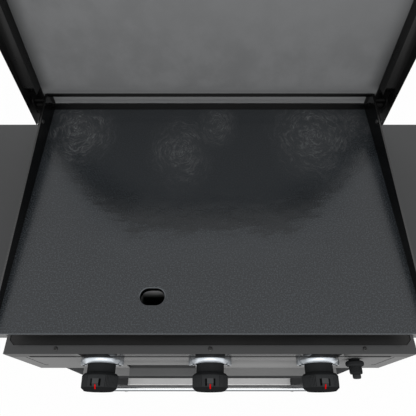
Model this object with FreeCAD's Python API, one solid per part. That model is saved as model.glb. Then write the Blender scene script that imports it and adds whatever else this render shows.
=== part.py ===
import FreeCAD, Part
import math
import os

Vector = FreeCAD.Vector

# Outdoor gas griddle station, in millimetres, +Z up from the floor, front towards -Y.
# Depths are first counted from the middle of the cooking plate. The finished set of
# pieces is then moved along Y, so that the origin lies under the middle of the whole.

# Clearances
FIT_GAP = 0.05
BODY_GAP = 0.3
SLIDE_GAP = 2.0

# Cooking plate with its walls, rear rail and drain
SURFACE_HEIGHT = 900.0
PLATE_WIDTH = 711.0
PLATE_DEPTH = 500.0
PLATE_THICKNESS = 5.0
WALL_THICKNESS = 3.2
WALL_FRONT_HEIGHT = 12.0
WALL_REAR_HEIGHT = 46.0
REAR_LIP_HEIGHT = 17.0
REAR_RAIL_HEIGHT = 7.0
DRAIN_X = -100.0
DRAIN_SETBACK = 63.0
DRAIN_LENGTH = 43.0
DRAIN_WIDTH = 30.0
SPOUT_WALL = 1.6
SPOUT_LENGTH = 10.0
FOOT_RADIUS = 5.0
FOOT_HEAD_RADIUS = 8.0
FOOT_HEAD_HEIGHT = 5.0
FOOT_INSET_X = 24.0
FOOT_INSET_Y = 48.0

# Firebox, a folded steel case under the plate
SHEET = 1.5
PLATE_GAP = 3.0
FIREBOX_INSET = 6.7
FIREBOX_SETBACK = 32.0
FLOOR_DROP = 165.0
FOOTING_DROP = 20.0
FOOTING_SIZE = 36.0
CART_FLANGE = 84.0
VENT_COUNT = 9
VENT_PITCH = 60.0
VENT_LENGTH = 40.0
VENT_HEIGHT = 8.0
VENT_DROP = 60.0

# Grease way
CHUTE_MARGIN = 6.0
CHUTE_WALL = 1.2
CHUTE_FLANGE = 12.0
TRAY_DEPTH = 158.0
TRAY_HEIGHT = 38.0
TRAY_SHEET = 1.5
TRAY_LIFT = 2.5
TRAY_SETBACK = 4.0
RUNNER_LEDGE = 13.0
RUNNER_SETBACK = 30.0

# Control panel, one folded sheet with a slanted-corner opening behind its top flange
PANEL_WIDTH = 717.0
PANEL_HEIGHT = 176.0
PANEL_DROP = 52.0
PANEL_OVERHANG = 22.0
PANEL_SHEET = 1.5
FLANGE_DEPTH = 14.6
FLANGE_SIDE = 5.5
FLANGE_CORNER = 9.0
PANEL_CHEEK = 42.0
PANEL_RETURN = 8.0
BORDER_DROP = 29.5
BORDER_INSET = 32.5
BORDER_RADIUS = 8.0
BORDER_WIDTH = 7.0
BORDER_DEPTH = 0.6
NOTCH_WIDTH = 140.0
NOTCH_HEIGHT = 44.0
NOTCH_RADIUS = 9.0
PANEL_SCREW_SPREAD = 269.0
PANEL_SCREW_SETBACK = 8.0
SCREW_RADIUS = 2.0
SCREW_HEAD_RADIUS = 4.0
SCREW_HEAD_HEIGHT = 2.2
SHIELD_LEG = 36.0

# Burners, gas line and valves, on the same three axes as the knobs
BURNER_PITCH = 203.0
AXIS_DROP = 71.0
BURNER_RADIUS = 12.7
BURNER_WALL = 1.2
BURNER_MARGIN = 45.0
BELL_RADIUS = 16.0
BELL_LENGTH = 9.0
PORT_COUNT = 20
PORT_PITCH = 16.0
PORT_WIDTH = 2.0
PORT_HEIGHT = 5.0
CROSSOVER_WIDTH = 14.0
CROSSOVER_HEIGHT = 8.0
CROSSOVER_SETBACK = 120.0
MANIFOLD_RADIUS = 8.0
MANIFOLD_WALL = 1.5
MANIFOLD_OVERRUN = 20.0
BRACKET_SIZE = 24.0
NIPPLE_RADIUS = 4.0
VALVE_BACKSET = 10.0
VALVE_WIDTH = 22.0
VALVE_LENGTH = 24.0
BONNET_RADIUS = 7.5
BONNET_LENGTH = 5.0
JET_RADIUS = 3.5
JET_LENGTH = 11.0
INLET_INSET = 32.5
INLET_DROP = 52.0
INLET_THREAD_RADIUS = 7.9
INLET_THREAD_LENGTH = 14.0
INLET_HEX = 20.0
INLET_HEX_LENGTH = 9.0
INLET_BORE = 4.0

# Knobs, their bezels and the pushed spring seats behind them
KNOB_TRAVEL = 4.0
STEM_RADIUS = 4.0
STEM_FLAT = 1.2
STEM_DEPTH = 12.0
SEAT_RADIUS = 8.0
SEAT_THICKNESS = 3.0
SEAT_STANDOFF = 1.0
BEZEL_RADIUS = 40.5
BEZEL_BORE = 27.5
BEZEL_STEP = 4.0
BEZEL_RING_RADIUS = 33.0
BEZEL_FRONT_RADIUS = 30.0
BEZEL_HEIGHT = 10.0
KNOB_NECK_RADIUS = 25.7
KNOB_NECK_START = 7.0
KNOB_BODY_RADIUS = 33.0
KNOB_BODY_START = 24.0
KNOB_SHOULDER = 4.0
KNOB_CHAMFER = 5.0
KNOB_FACE_RADIUS = 26.0
KNOB_REACH = 53.0
KNOB_WALL = 3.0
KNOB_HUB_RADIUS = 9.0
RIB_ANGLE = 5.0
RIB_WIDTH = 1.3
RIB_DEPTH = 0.9
POINTER_WIDTH = 12.0
POINTER_SLOT = 3.5
POINTER_LENGTH = 14.0
POINTER_DEPTH = 3.0
POINTER_SLOPE = 10.5
POINTER_SINK = 0.8

# Igniter, its push button and the spark module
IGNITER_INSET = 93.5
IGNITER_DROP = 52.0
IGNITER_BARREL_RADIUS = 10.0
IGNITER_BARREL_LENGTH = 4.5
IGNITER_COLLAR_RADIUS = 16.2
IGNITER_COLLAR_LENGTH = 8.5
IGNITER_SLEEVE_RADIUS = 11.3
IGNITER_SLEEVE_LENGTH = 13.0
IGNITER_BUTTON_RADIUS = 7.3
IGNITER_BUTTON_REACH = 8.0
IGNITER_BUTTON_BURIED = 14.0
IGNITER_TRAVEL = 5.0
IGNITER_TAIL = 14.0
IGNITER_NUT_RADIUS = 14.0
IGNITER_NUT_LENGTH = 5.0
MODULE_SIZE = 26.0
ELECTRODE_RADIUS = 4.0
ELECTRODE_LENGTH = 50.0
ELECTRODE_SIDESTEP = 24.0
ELECTRODE_RISE = 6.0
WIRE_RADIUS = 1.0
WIRE_LENGTH = 20.0

# Cart
LEG_WIDTH = 40.0
LEG_DEPTH = 30.0
LEG_WALL = 1.5
LEG_CORNER = 3.0
LEG_SPREAD = 576.0
RAIL_HEIGHT = 46.0
RAIL_DEPTH = 36.0
RAIL_PROUD = 15.4
RAIL_WALL = 1.5
SIDE_RAIL_WIDTH = 26.0
SIDE_RAIL_HEIGHT = 40.0
BOTTOM_SHELF_HEIGHT = 174.0
BOTTOM_SHELF_SETBACK = 12.0
BOTTOM_SHELF_SHEET = 1.2
BOTTOM_SHELF_LIP = 25.0
BAR_RADIUS = 6.0
BAR_SPREAD = 468.0
BAR_DROP = 22.5
BAR_REACH = 22.0
BAR_BEND = 14.0
BAR_FLANGE_RADIUS = 11.0
BAR_FLANGE_THICKNESS = 3.0

# Side shelves
SIDE_SHELF_GAP = 3.5
SIDE_SHELF_SETBACK = 10.0
SIDE_SHELF_WIDTH = 330.0
SIDE_SHELF_SHEET = 1.2
SIDE_SHELF_LIP = 25.0
SIDE_SHELF_CORNER = 14.0
SIDE_SHELF_BEND = 2.5
ARM_SIZE = 20.0
ARM_LENGTH = 300.0
ARM_SPREAD = 300.0

# Lid and its hinges; the lid is drawn closed and then opened about its pivot
LID_OPEN_ANGLE = 95.0
LID_TAPER = 3.5
LID_SHEET = 1.2
LID_SIDE_GAP = 42.3
LID_FRONT_GAP = 12.0
LID_REAR_OVERLAP = 40.0
LID_RIM_DROP = 9.8
LID_CEILING_RISE = 33.9
LID_CORNER = 8.0
STIFFENER_GAP = 19.3
STIFFENER_DEPTH = 30.0
STIFFENER_WALL_END = 22.0
STIFFENER_BRIM_END = 38.5
PIVOT_AHEAD = 9.0
PIVOT_RISE = 25.0
PIN_RADIUS = 4.0
PIN_COLLAR_RADIUS = 6.0
PIN_TAIL_RADIUS = 3.0
PIN_HEAD_RADIUS = 6.5
PIN_HEAD_LENGTH = 3.0
BRACKET_THICKNESS = 3.0
BRACKET_LENGTH = 84.0
BRACKET_SINK = 4.0
BRACKET_TRIM = 1.5
HUB_RADIUS = 20.0
HUB_THICKNESS = 3.0
HUB_STANDOFF = 17.0
STOP_RADIUS = 3.5
STOP_ORBIT = 12.5
STOP_ANGLE = 88.0
WALL_SCREW_BACKSET = 69.0
WALL_SCREW_RISE = 35.0
HANDLE_SPREAD = 440.0
HANDLE_RADIUS = 11.0
HANDLE_WALL = 1.5
HANDLE_STANDOFF = 42.0
HANDLE_RISE = 42.0
POST_WIDTH = 24.0
POST_HEIGHT = 28.0
POST_BORE = 14.0

# Casters
CASTER_HEIGHT = 90.0
WHEEL_RADIUS = 32.0
WHEEL_WIDTH = 22.0
WHEEL_EDGE = 3.0
CASTER_TRAIL = 24.0
FORK_SHEET = 2.5
FORK_GAP = 1.2
AXLE_RADIUS = 4.0
KINGPIN_RADIUS = 4.0
KINGPIN_HEAD_RADIUS = 7.0
KINGPIN_HEAD = 3.0
CROWN_RADIUS = 17.0
CROWN_HEIGHT = 4.0
RACE_RADIUS = 15.0
RACE_HEIGHT = 5.0
CASTER_PLATE = 3.0
PLUG_LENGTH = 20.0
BRAKE_BACKSET = 14.0
BRAKE_HEIGHT = 71.0
BRAKE_LENGTH = 46.0
BRAKE_SHEET = 2.5
BRAKE_PAD = 15.0
BRAKE_PIN_RADIUS = 2.5
BRAKE_REST_ANGLE = 4.0

# Places worked out from the sizes above
PLATE_HALF = PLATE_WIDTH / 2
PLATE_OUTER = PLATE_HALF + WALL_THICKNESS
PLATE_FRONT = -PLATE_DEPTH / 2
PLATE_REAR = PLATE_DEPTH / 2
PLATE_BACK = PLATE_REAR + WALL_THICKNESS
PLATE_UNDER = SURFACE_HEIGHT - PLATE_THICKNESS
DRAIN_Y = PLATE_FRONT + DRAIN_SETBACK
PANEL_TOP = SURFACE_HEIGHT - PANEL_DROP
PANEL_BOTTOM = PANEL_TOP - PANEL_HEIGHT
PANEL_FACE = PLATE_FRONT - PANEL_OVERHANG
PANEL_BACK = PANEL_FACE + PANEL_SHEET
PANEL_HALF = PANEL_WIDTH / 2
INLET_X = PANEL_HALF - INLET_INSET
IGNITER_X = PANEL_HALF - IGNITER_INSET
CART_TOP = PANEL_BOTTOM
FIREBOX_HALF = PLATE_OUTER - FIREBOX_INSET
FIREBOX_FRONT = PLATE_FRONT + FIREBOX_SETBACK
FIREBOX_REAR = PLATE_BACK - FIREBOX_INSET
FIREBOX_TOP = PLATE_UNDER - PLATE_GAP
FIREBOX_FLOOR = SURFACE_HEIGHT - FLOOR_DROP
SHIELD_TOP = PANEL_TOP - PANEL_SHEET
AXIS_Z = PANEL_TOP - AXIS_DROP
BURNER_XS = {"left": -BURNER_PITCH, "middle": 0.0, "right": BURNER_PITCH}
VALVE_FRONT = PANEL_BACK + VALVE_BACKSET
VALVE_REAR = VALVE_FRONT + VALVE_LENGTH
VALVE_MIDDLE = (VALVE_FRONT + VALVE_REAR) / 2
MANIFOLD_Z = AXIS_Z - VALVE_WIDTH / 2 - MANIFOLD_RADIUS
LEG_X = LEG_SPREAD / 2
LEG_FRONT_Y = PANEL_FACE + LEG_DEPTH / 2
LEG_REAR_Y = FIREBOX_REAR - LEG_DEPTH / 2
LEG_INNER = LEG_X - LEG_WIDTH / 2
RAIL_FACE = PANEL_FACE - RAIL_PROUD
PIVOT_Y = PLATE_REAR - PIVOT_AHEAD
PIVOT_Z = SURFACE_HEIGHT + PIVOT_RISE
RIM_Z = PIVOT_Z - LID_RIM_DROP
LID_HALF = PLATE_OUTER + LID_SIDE_GAP
STIFFENER_HALF = PLATE_OUTER + STIFFENER_GAP
HUB_INNER = LID_HALF - HUB_STANDOFF
LID_FRONT = PLATE_FRONT - LID_FRONT_GAP
LID_REAR = PLATE_BACK + LID_REAR_OVERLAP


def box(x0, x1, y0, y1, z0, z1):
    return Part.makeBox(x1 - x0, y1 - y0, z1 - z0, Vector(x0, y0, z0))


def rod_x(x0, x1, y, z, radius):
    return Part.makeCylinder(radius, x1 - x0, Vector(x0, y, z), Vector(1, 0, 0))


def rod_y(y0, y1, x, z, radius):
    return Part.makeCylinder(radius, y1 - y0, Vector(x, y0, z), Vector(0, 1, 0))


def rod_z(z0, z1, x, y, radius):
    return Part.makeCylinder(radius, z1 - z0, Vector(x, y, z0), Vector(0, 0, 1))


def prism(points, run):
    """A closed outline of points, drawn out along the vector run."""
    wire = Part.makePolygon(points + [points[0]])
    return Part.Face(wire).extrude(run)


def prism_x(outline, x0, x1):
    points = [Vector(x0, y, z) for y, z in outline]
    return prism(points, Vector(x1 - x0, 0, 0))


def prism_z(outline, z0, z1):
    points = [Vector(x, y, z0) for x, y in outline]
    return prism(points, Vector(0, 0, z1 - z0))


def join(*shapes):
    whole = shapes[0]
    for shape in shapes[1:]:
        whole = whole.fuse(shape)
    return whole.removeSplitter()


def group(shapes):
    return Part.makeCompound(shapes)


def mirror_x(shape):
    return shape.mirror(Vector(0, 0, 0), Vector(1, 0, 0))


def edges_along(shape, direction, picked=lambda middle: True):
    """The straight edges along a direction whose middle point passes the test."""
    chosen = []
    for edge in shape.Edges:
        if len(edge.Vertexes) < 2 or not isinstance(edge.Curve, Part.Line):
            continue
        along = edge.Vertexes[1].Point - edge.Vertexes[0].Point
        if along.Length > 0 and abs(along.normalize().dot(direction)) > 0.98:
            if picked(edge.CenterOfMass):
                chosen.append(edge)
    return chosen


def rounded(shape, direction, radius, picked=lambda middle: True):
    return shape.makeFillet(radius, edges_along(shape, direction, picked))


def oval_z(x, y, length, width, z0, z1):
    """A stadium outline, longest along X, drawn out along Z."""
    reach = (length - width) / 2
    bar = box(x - reach, x + reach, y - width / 2, y + width / 2, z0, z1)
    ends = [rod_z(z0, z1, x + side * reach, y, width / 2) for side in (-1, 1)]
    return join(bar, *ends)


def turned_y(outline, x, y, z):
    """A ring or disc turned about a line along -Y; outline holds (radius, reach)."""
    points = [Vector(x + radius, y - reach, z) for radius, reach in outline]
    face = Part.Face(Part.makePolygon(points + [points[0]]))
    return face.revolve(Vector(x, y, z), Vector(0, 1, 0), 360)


def square_tube_z(x, y, z0, z1):
    """A cart leg: a rectangular tube with rounded corners."""
    outer = box(x - LEG_WIDTH / 2, x + LEG_WIDTH / 2, y - LEG_DEPTH / 2, y + LEG_DEPTH / 2, z0, z1)
    outer = rounded(outer, Vector(0, 0, 1), LEG_CORNER)
    width = LEG_WIDTH / 2 - LEG_WALL
    depth = LEG_DEPTH / 2 - LEG_WALL
    inner = box(x - width, x + width, y - depth, y + depth, z0, z1)
    inner = rounded(inner, Vector(0, 0, 1), LEG_CORNER - LEG_WALL)
    return outer.cut(inner)


def hex_z(x, y, across, z0, z1):
    radius = across / math.sqrt(3)
    corners = [math.radians(60 * k) for k in range(6)]
    return prism_z([(x + radius * math.cos(a), y + radius * math.sin(a)) for a in corners], z0, z1)


def pan_screw(x, y, z, length):
    """A screw standing along Z with its head resting on the height z."""
    head = rod_z(z, z + SCREW_HEAD_HEIGHT, x, y, SCREW_HEAD_RADIUS)
    return join(head, rod_z(z - length, z, x, y, SCREW_RADIUS))


def griddle_plate():
    outline = [
        (PLATE_FRONT, SURFACE_HEIGHT),
        (PLATE_BACK, SURFACE_HEIGHT),
        (PLATE_BACK, SURFACE_HEIGHT + WALL_REAR_HEIGHT),
        (PLATE_REAR, SURFACE_HEIGHT + WALL_REAR_HEIGHT),
        (PLATE_FRONT, SURFACE_HEIGHT + WALL_FRONT_HEIGHT),
    ]
    plate = box(-PLATE_OUTER, PLATE_OUTER, PLATE_FRONT, PLATE_BACK, PLATE_UNDER, SURFACE_HEIGHT)
    walls = [prism_x(outline, PLATE_HALF, PLATE_OUTER), prism_x(outline, -PLATE_OUTER, -PLATE_HALF)]
    lip_top = SURFACE_HEIGHT + REAR_LIP_HEIGHT
    rail_top = SURFACE_HEIGHT + WALL_REAR_HEIGHT
    lip = box(-PLATE_HALF, PLATE_HALF, PLATE_REAR, PLATE_BACK, SURFACE_HEIGHT, lip_top)
    rail = box(-PLATE_HALF, PLATE_HALF, PLATE_REAR, PLATE_BACK, rail_top - REAR_RAIL_HEIGHT, rail_top)
    spout = oval_z(
        DRAIN_X,
        DRAIN_Y,
        DRAIN_LENGTH + 2 * SPOUT_WALL,
        DRAIN_WIDTH + 2 * SPOUT_WALL,
        PLATE_UNDER - SPOUT_LENGTH,
        PLATE_UNDER,
    )
    drain = oval_z(
        DRAIN_X, DRAIN_Y, DRAIN_LENGTH, DRAIN_WIDTH, PLATE_UNDER - SPOUT_LENGTH, SURFACE_HEIGHT
    )
    whole = join(plate, *walls, lip, rail, spout).cut(drain)
    y, z = wall_screw_place()
    whole = whole.cut(rod_x(-PLATE_OUTER, PLATE_OUTER, y, z, SCREW_RADIUS))
    return whole.cut(rod_x(-PLATE_OUTER, PLATE_OUTER, PIVOT_Y, PIVOT_Z, PIN_TAIL_RADIUS))


def wall_screw_place():
    return PLATE_REAR - WALL_SCREW_BACKSET, SURFACE_HEIGHT + WALL_SCREW_RISE


def foot_places():
    x = FIREBOX_HALF - FOOT_INSET_X
    ys = (FIREBOX_FRONT + FOOT_INSET_Y, FIREBOX_REAR - FOOT_INSET_Y)
    return [(side * x, y) for side in (-1, 1) for y in ys]


def griddle_feet():
    seat = SURFACE_HEIGHT - FOOTING_DROP
    feet = []
    for x, y in foot_places():
        stud = rod_z(seat + FOOT_HEAD_HEIGHT, PLATE_UNDER, x, y, FOOT_RADIUS)
        feet.append(join(rod_z(seat, seat + FOOT_HEAD_HEIGHT, x, y, FOOT_HEAD_RADIUS), stud))
    return group(feet)


def chute_half_sizes():
    return (
        DRAIN_LENGTH / 2 + SPOUT_WALL + CHUTE_MARGIN,
        DRAIN_WIDTH / 2 + SPOUT_WALL + CHUTE_MARGIN,
    )


def grease_chute():
    half_x, half_y = chute_half_sizes()
    top = FIREBOX_TOP - PLATE_GAP
    bottom = PANEL_BOTTOM + NOTCH_HEIGHT
    flange = box(
        DRAIN_X - half_x - CHUTE_FLANGE,
        DRAIN_X + half_x + CHUTE_FLANGE,
        max(DRAIN_Y - half_y - CHUTE_FLANGE, FIREBOX_FRONT + 2 * SHEET),
        DRAIN_Y + half_y + CHUTE_FLANGE,
        FIREBOX_FLOOR,
        FIREBOX_FLOOR + CHUTE_WALL,
    )
    duct = box(
        DRAIN_X - half_x, DRAIN_X + half_x, DRAIN_Y - half_y, DRAIN_Y + half_y, bottom, top
    )
    bore = box(
        DRAIN_X - half_x + CHUTE_WALL,
        DRAIN_X + half_x - CHUTE_WALL,
        DRAIN_Y - half_y + CHUTE_WALL,
        DRAIN_Y + half_y - CHUTE_WALL,
        bottom,
        top,
    )
    return join(flange, duct).cut(bore)


def tray_bottom():
    return CART_TOP + TRAY_LIFT


def grease_tray():
    half = NOTCH_WIDTH / 2 - SLIDE_GAP
    bottom = tray_bottom()
    front = PANEL_FACE + TRAY_SETBACK
    tray = box(
        DRAIN_X - half, DRAIN_X + half, front, front + TRAY_DEPTH, bottom, bottom + TRAY_HEIGHT
    )
    tray = rounded(tray, Vector(0, 0, 1), 4 * TRAY_SHEET)
    inside = box(
        DRAIN_X - half + TRAY_SHEET,
        DRAIN_X + half - TRAY_SHEET,
        front + TRAY_SHEET,
        front + TRAY_DEPTH - TRAY_SHEET,
        bottom + TRAY_SHEET,
        bottom + TRAY_HEIGHT,
    )
    inside = rounded(inside, Vector(0, 0, 1), 3 * TRAY_SHEET)
    lip = box(
        DRAIN_X - NOTCH_WIDTH / 2,
        DRAIN_X + NOTCH_WIDTH / 2,
        RAIL_FACE,
        front + TRAY_SHEET,
        CART_TOP + BODY_GAP,
        CART_TOP + BODY_GAP + TRAY_SHEET,
    )
    neck = box(
        DRAIN_X - half,
        DRAIN_X + half,
        front,
        front + TRAY_SHEET,
        CART_TOP + BODY_GAP,
        bottom + TRAY_HEIGHT / 2,
    )
    return join(tray.cut(inside), lip, neck)


def tray_runners():
    """Two folded angles that hang from the firebox floor and carry the tray."""
    outer = NOTCH_WIDTH / 2 + SHEET
    front = PANEL_FACE + RUNNER_SETBACK
    rear = PANEL_FACE + TRAY_SETBACK + TRAY_DEPTH
    ledge_top = tray_bottom() - BODY_GAP
    floor = FIREBOX_FLOOR - SHEET
    wall = box(DRAIN_X + outer - SHEET, DRAIN_X + outer, front, rear, ledge_top - SHEET, floor)
    ledge = box(
        DRAIN_X + outer - RUNNER_LEDGE, DRAIN_X + outer, front, rear, ledge_top - SHEET, ledge_top
    )
    tab = box(
        DRAIN_X + outer - SHEET,
        DRAIN_X + outer + RUNNER_LEDGE,
        FIREBOX_FRONT,
        rear,
        floor - SHEET,
        floor,
    )
    runner = join(wall, ledge, tab)
    twin = runner.mirror(Vector(DRAIN_X, 0, 0), Vector(1, 0, 0))
    return group([runner, twin])


def firebox_shell():
    outer = box(
        -FIREBOX_HALF, FIREBOX_HALF, FIREBOX_FRONT, FIREBOX_REAR, CART_TOP, FIREBOX_TOP
    )
    inner_half = FIREBOX_HALF - SHEET
    upper = box(
        -inner_half,
        inner_half,
        FIREBOX_FRONT + SHEET,
        FIREBOX_REAR - SHEET,
        FIREBOX_FLOOR,
        FIREBOX_TOP,
    )
    lower = box(
        -inner_half,
        inner_half,
        FIREBOX_FRONT,
        FIREBOX_REAR - SHEET,
        CART_TOP,
        FIREBOX_FLOOR - SHEET,
    )
    shell = outer.cut(upper).cut(lower)
    flange = box(
        FIREBOX_HALF - CART_FLANGE,
        FIREBOX_HALF - SHEET,
        FIREBOX_FRONT,
        FIREBOX_REAR - SHEET,
        CART_TOP,
        CART_TOP + SHEET,
    )
    shell = join(shell, flange, mirror_x(flange), *footings())
    for x in BURNER_XS.values():
        shell = shell.cut(rod_y(FIREBOX_FRONT, FIREBOX_FRONT + SHEET, x, AXIS_Z, BURNER_RADIUS))
        electrode_x = x + ELECTRODE_SIDESTEP
        electrode_z = AXIS_Z + ELECTRODE_RISE
        shell = shell.cut(
            rod_y(FIREBOX_FRONT, FIREBOX_FRONT + SHEET, electrode_x, electrode_z, ELECTRODE_RADIUS)
        )
    half_x, half_y = chute_half_sizes()
    shell = shell.cut(
        box(
            DRAIN_X - half_x,
            DRAIN_X + half_x,
            DRAIN_Y - half_y,
            DRAIN_Y + half_y,
            FIREBOX_FLOOR - SHEET,
            FIREBOX_FLOOR,
        )
    )
    return shell.cut(group(rear_vents()))


def footings():
    """Corner tabs in the firebox on which the plate's feet stand."""
    top = SURFACE_HEIGHT - FOOTING_DROP
    tabs = []
    for x, y in foot_places():
        side = math.copysign(1, x)
        inner = side * (abs(x) - FOOTING_SIZE / 2)
        outer = side * (FIREBOX_HALF - SHEET)
        low = min(inner, outer)
        high = max(inner, outer)
        half = FOOTING_SIZE / 2
        tabs.append(box(low, high, y - half, y + half, top - SHEET, top))
    return tabs


def rear_vents():
    z = FIREBOX_TOP - VENT_DROP
    vents = []
    for k in range(VENT_COUNT):
        x = (k - (VENT_COUNT - 1) / 2) * VENT_PITCH
        half = VENT_LENGTH / 2
        vents.append(
            box(x - half, x + half, FIREBOX_REAR - SHEET, FIREBOX_REAR, z - VENT_HEIGHT, z)
        )
    return vents


def heat_shield():
    """The dark sheet that closes the gap between the panel's top flange and the firebox."""
    half = PANEL_HALF - PANEL_SHEET
    shelf = box(
        -half, half, PANEL_BACK, FIREBOX_FRONT, SHIELD_TOP - SHEET, SHIELD_TOP
    )
    leg = box(
        -half, half, FIREBOX_FRONT - SHEET, FIREBOX_FRONT, SHIELD_TOP - SHIELD_LEG, SHIELD_TOP
    )
    shield = join(shelf, leg)
    for x in panel_screw_xs():
        y = PANEL_FACE + PANEL_SCREW_SETBACK
        shield = shield.cut(rod_z(SHIELD_TOP - SHEET, SHIELD_TOP, x, y, SCREW_RADIUS))
    return shield


def panel_screw_xs():
    return (-PANEL_SCREW_SPREAD, 0.0, PANEL_SCREW_SPREAD)


def burner(x):
    rear = FIREBOX_REAR - SHEET
    end = rear - BURNER_MARGIN
    tube = rod_y(FIREBOX_FRONT, end, x, AXIS_Z, BURNER_RADIUS)
    bore = rod_y(FIREBOX_FRONT, end - BURNER_WALL, x, AXIS_Z, BURNER_RADIUS - BURNER_WALL)
    throat = BURNER_RADIUS - BURNER_WALL
    bell_outline = [
        (BURNER_RADIUS, 0),
        (BELL_RADIUS, BELL_LENGTH),
        (BELL_RADIUS - BURNER_WALL, BELL_LENGTH),
        (throat, 0),
    ]
    bell = turned_y(bell_outline, x, FIREBOX_FRONT, AXIS_Z)
    tongue = box(x - JET_LENGTH, x + JET_LENGTH, end - BURNER_WALL, rear, AXIS_Z, AXIS_Z + SHEET)
    body = join(tube.cut(bore), bell, tongue)
    ports = []
    for k in range(PORT_COUNT):
        y = end - BURNER_MARGIN - (PORT_COUNT - 1 - k) * PORT_PITCH
        ports.append(
            box(
                x - BURNER_RADIUS,
                x + BURNER_RADIUS,
                y,
                y + PORT_WIDTH,
                AXIS_Z - PORT_HEIGHT / 2,
                AXIS_Z + PORT_HEIGHT / 2,
            )
        )
    return body.cut(group(ports))


def crossover_channel():
    """A folded channel across the burners, which carries the flame from one to the next."""
    half = BURNER_PITCH + BURNER_RADIUS + CROSSOVER_WIDTH
    y = FIREBOX_REAR - CROSSOVER_SETBACK
    low = AXIS_Z + BURNER_RADIUS
    channel = box(
        -half, half, y - CROSSOVER_WIDTH / 2, y + CROSSOVER_WIDTH / 2, low, low + CROSSOVER_HEIGHT
    )
    groove = box(
        -half,
        half,
        y - CROSSOVER_WIDTH / 2 + SHEET,
        y + CROSSOVER_WIDTH / 2 - SHEET,
        low,
        low + CROSSOVER_HEIGHT - SHEET,
    )
    return channel.cut(groove)


def gas_manifold():
    left = -BURNER_PITCH - MANIFOLD_OVERRUN
    inner = MANIFOLD_RADIUS - MANIFOLD_WALL
    tube = rod_x(left, INLET_X, VALVE_MIDDLE, MANIFOLD_Z, MANIFOLD_RADIUS)
    drop = rod_z(MANIFOLD_Z - INLET_DROP, MANIFOLD_Z, INLET_X, VALVE_MIDDLE, MANIFOLD_RADIUS)
    elbow = Part.makeSphere(MANIFOLD_RADIUS, Vector(INLET_X, VALVE_MIDDLE, MANIFOLD_Z))
    bore = join(
        rod_x(left + MANIFOLD_WALL, INLET_X, VALVE_MIDDLE, MANIFOLD_Z, inner),
        rod_z(MANIFOLD_Z - INLET_DROP, MANIFOLD_Z, INLET_X, VALVE_MIDDLE, inner),
        Part.makeSphere(inner, Vector(INLET_X, VALVE_MIDDLE, MANIFOLD_Z)),
    )
    pipe = join(tube, drop, elbow).cut(bore)
    for x in BURNER_XS.values():
        pipe = pipe.cut(
            rod_z(MANIFOLD_Z, MANIFOLD_Z + 2 * MANIFOLD_RADIUS, x, VALVE_MIDDLE, NIPPLE_RADIUS)
        )
    return pipe


def manifold_bracket(side):
    """A folded tab on the firebox front that the manifold pipe runs through."""
    x0 = side * BURNER_PITCH / 2
    low = MANIFOLD_Z - BRACKET_SIZE / 2
    high = MANIFOLD_Z + BRACKET_SIZE / 2
    front = VALVE_MIDDLE - BRACKET_SIZE / 2
    ear = box(x0, x0 + SHEET, front, FIREBOX_FRONT, low, high)
    foot = box(x0, x0 + BRACKET_SIZE, FIREBOX_FRONT - SHEET, FIREBOX_FRONT, low, high)
    pipe = rod_x(x0, x0 + SHEET, VALVE_MIDDLE, MANIFOLD_Z, MANIFOLD_RADIUS)
    return join(ear, foot).cut(pipe)


def gas_inlet():
    """The fitting that takes the gas hose, with its thread pointing down."""
    top = MANIFOLD_Z - INLET_DROP
    nut = hex_z(INLET_X, VALVE_MIDDLE, INLET_HEX, top - INLET_HEX_LENGTH, top)
    low = top - INLET_HEX_LENGTH - INLET_THREAD_LENGTH
    thread = rod_z(low, top - INLET_HEX_LENGTH, INLET_X, VALVE_MIDDLE, INLET_THREAD_RADIUS)
    return join(nut, thread).cut(rod_z(low, top, INLET_X, VALVE_MIDDLE, INLET_BORE))


def gas_valve(x):
    half = VALVE_WIDTH / 2
    body = box(x - half, x + half, VALVE_FRONT, VALVE_REAR, AXIS_Z - half, AXIS_Z + half)
    body = rounded(body, Vector(0, 1, 0), half / 4)
    bonnet = rod_y(VALVE_FRONT - BONNET_LENGTH, VALVE_FRONT, x, AXIS_Z, BONNET_RADIUS)
    jet = rod_y(VALVE_REAR, VALVE_REAR + JET_LENGTH, x, AXIS_Z, JET_RADIUS)
    nipple = rod_z(
        MANIFOLD_Z + MANIFOLD_RADIUS - MANIFOLD_WALL, AXIS_Z, x, VALVE_MIDDLE, NIPPLE_RADIUS
    )
    bore = rod_y(
        VALVE_FRONT - BONNET_LENGTH,
        VALVE_FRONT + STEM_DEPTH + KNOB_TRAVEL + BODY_GAP,
        x,
        AXIS_Z,
        STEM_RADIUS + FIT_GAP,
    )
    return join(body, bonnet, jet, nipple).cut(bore)


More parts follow.
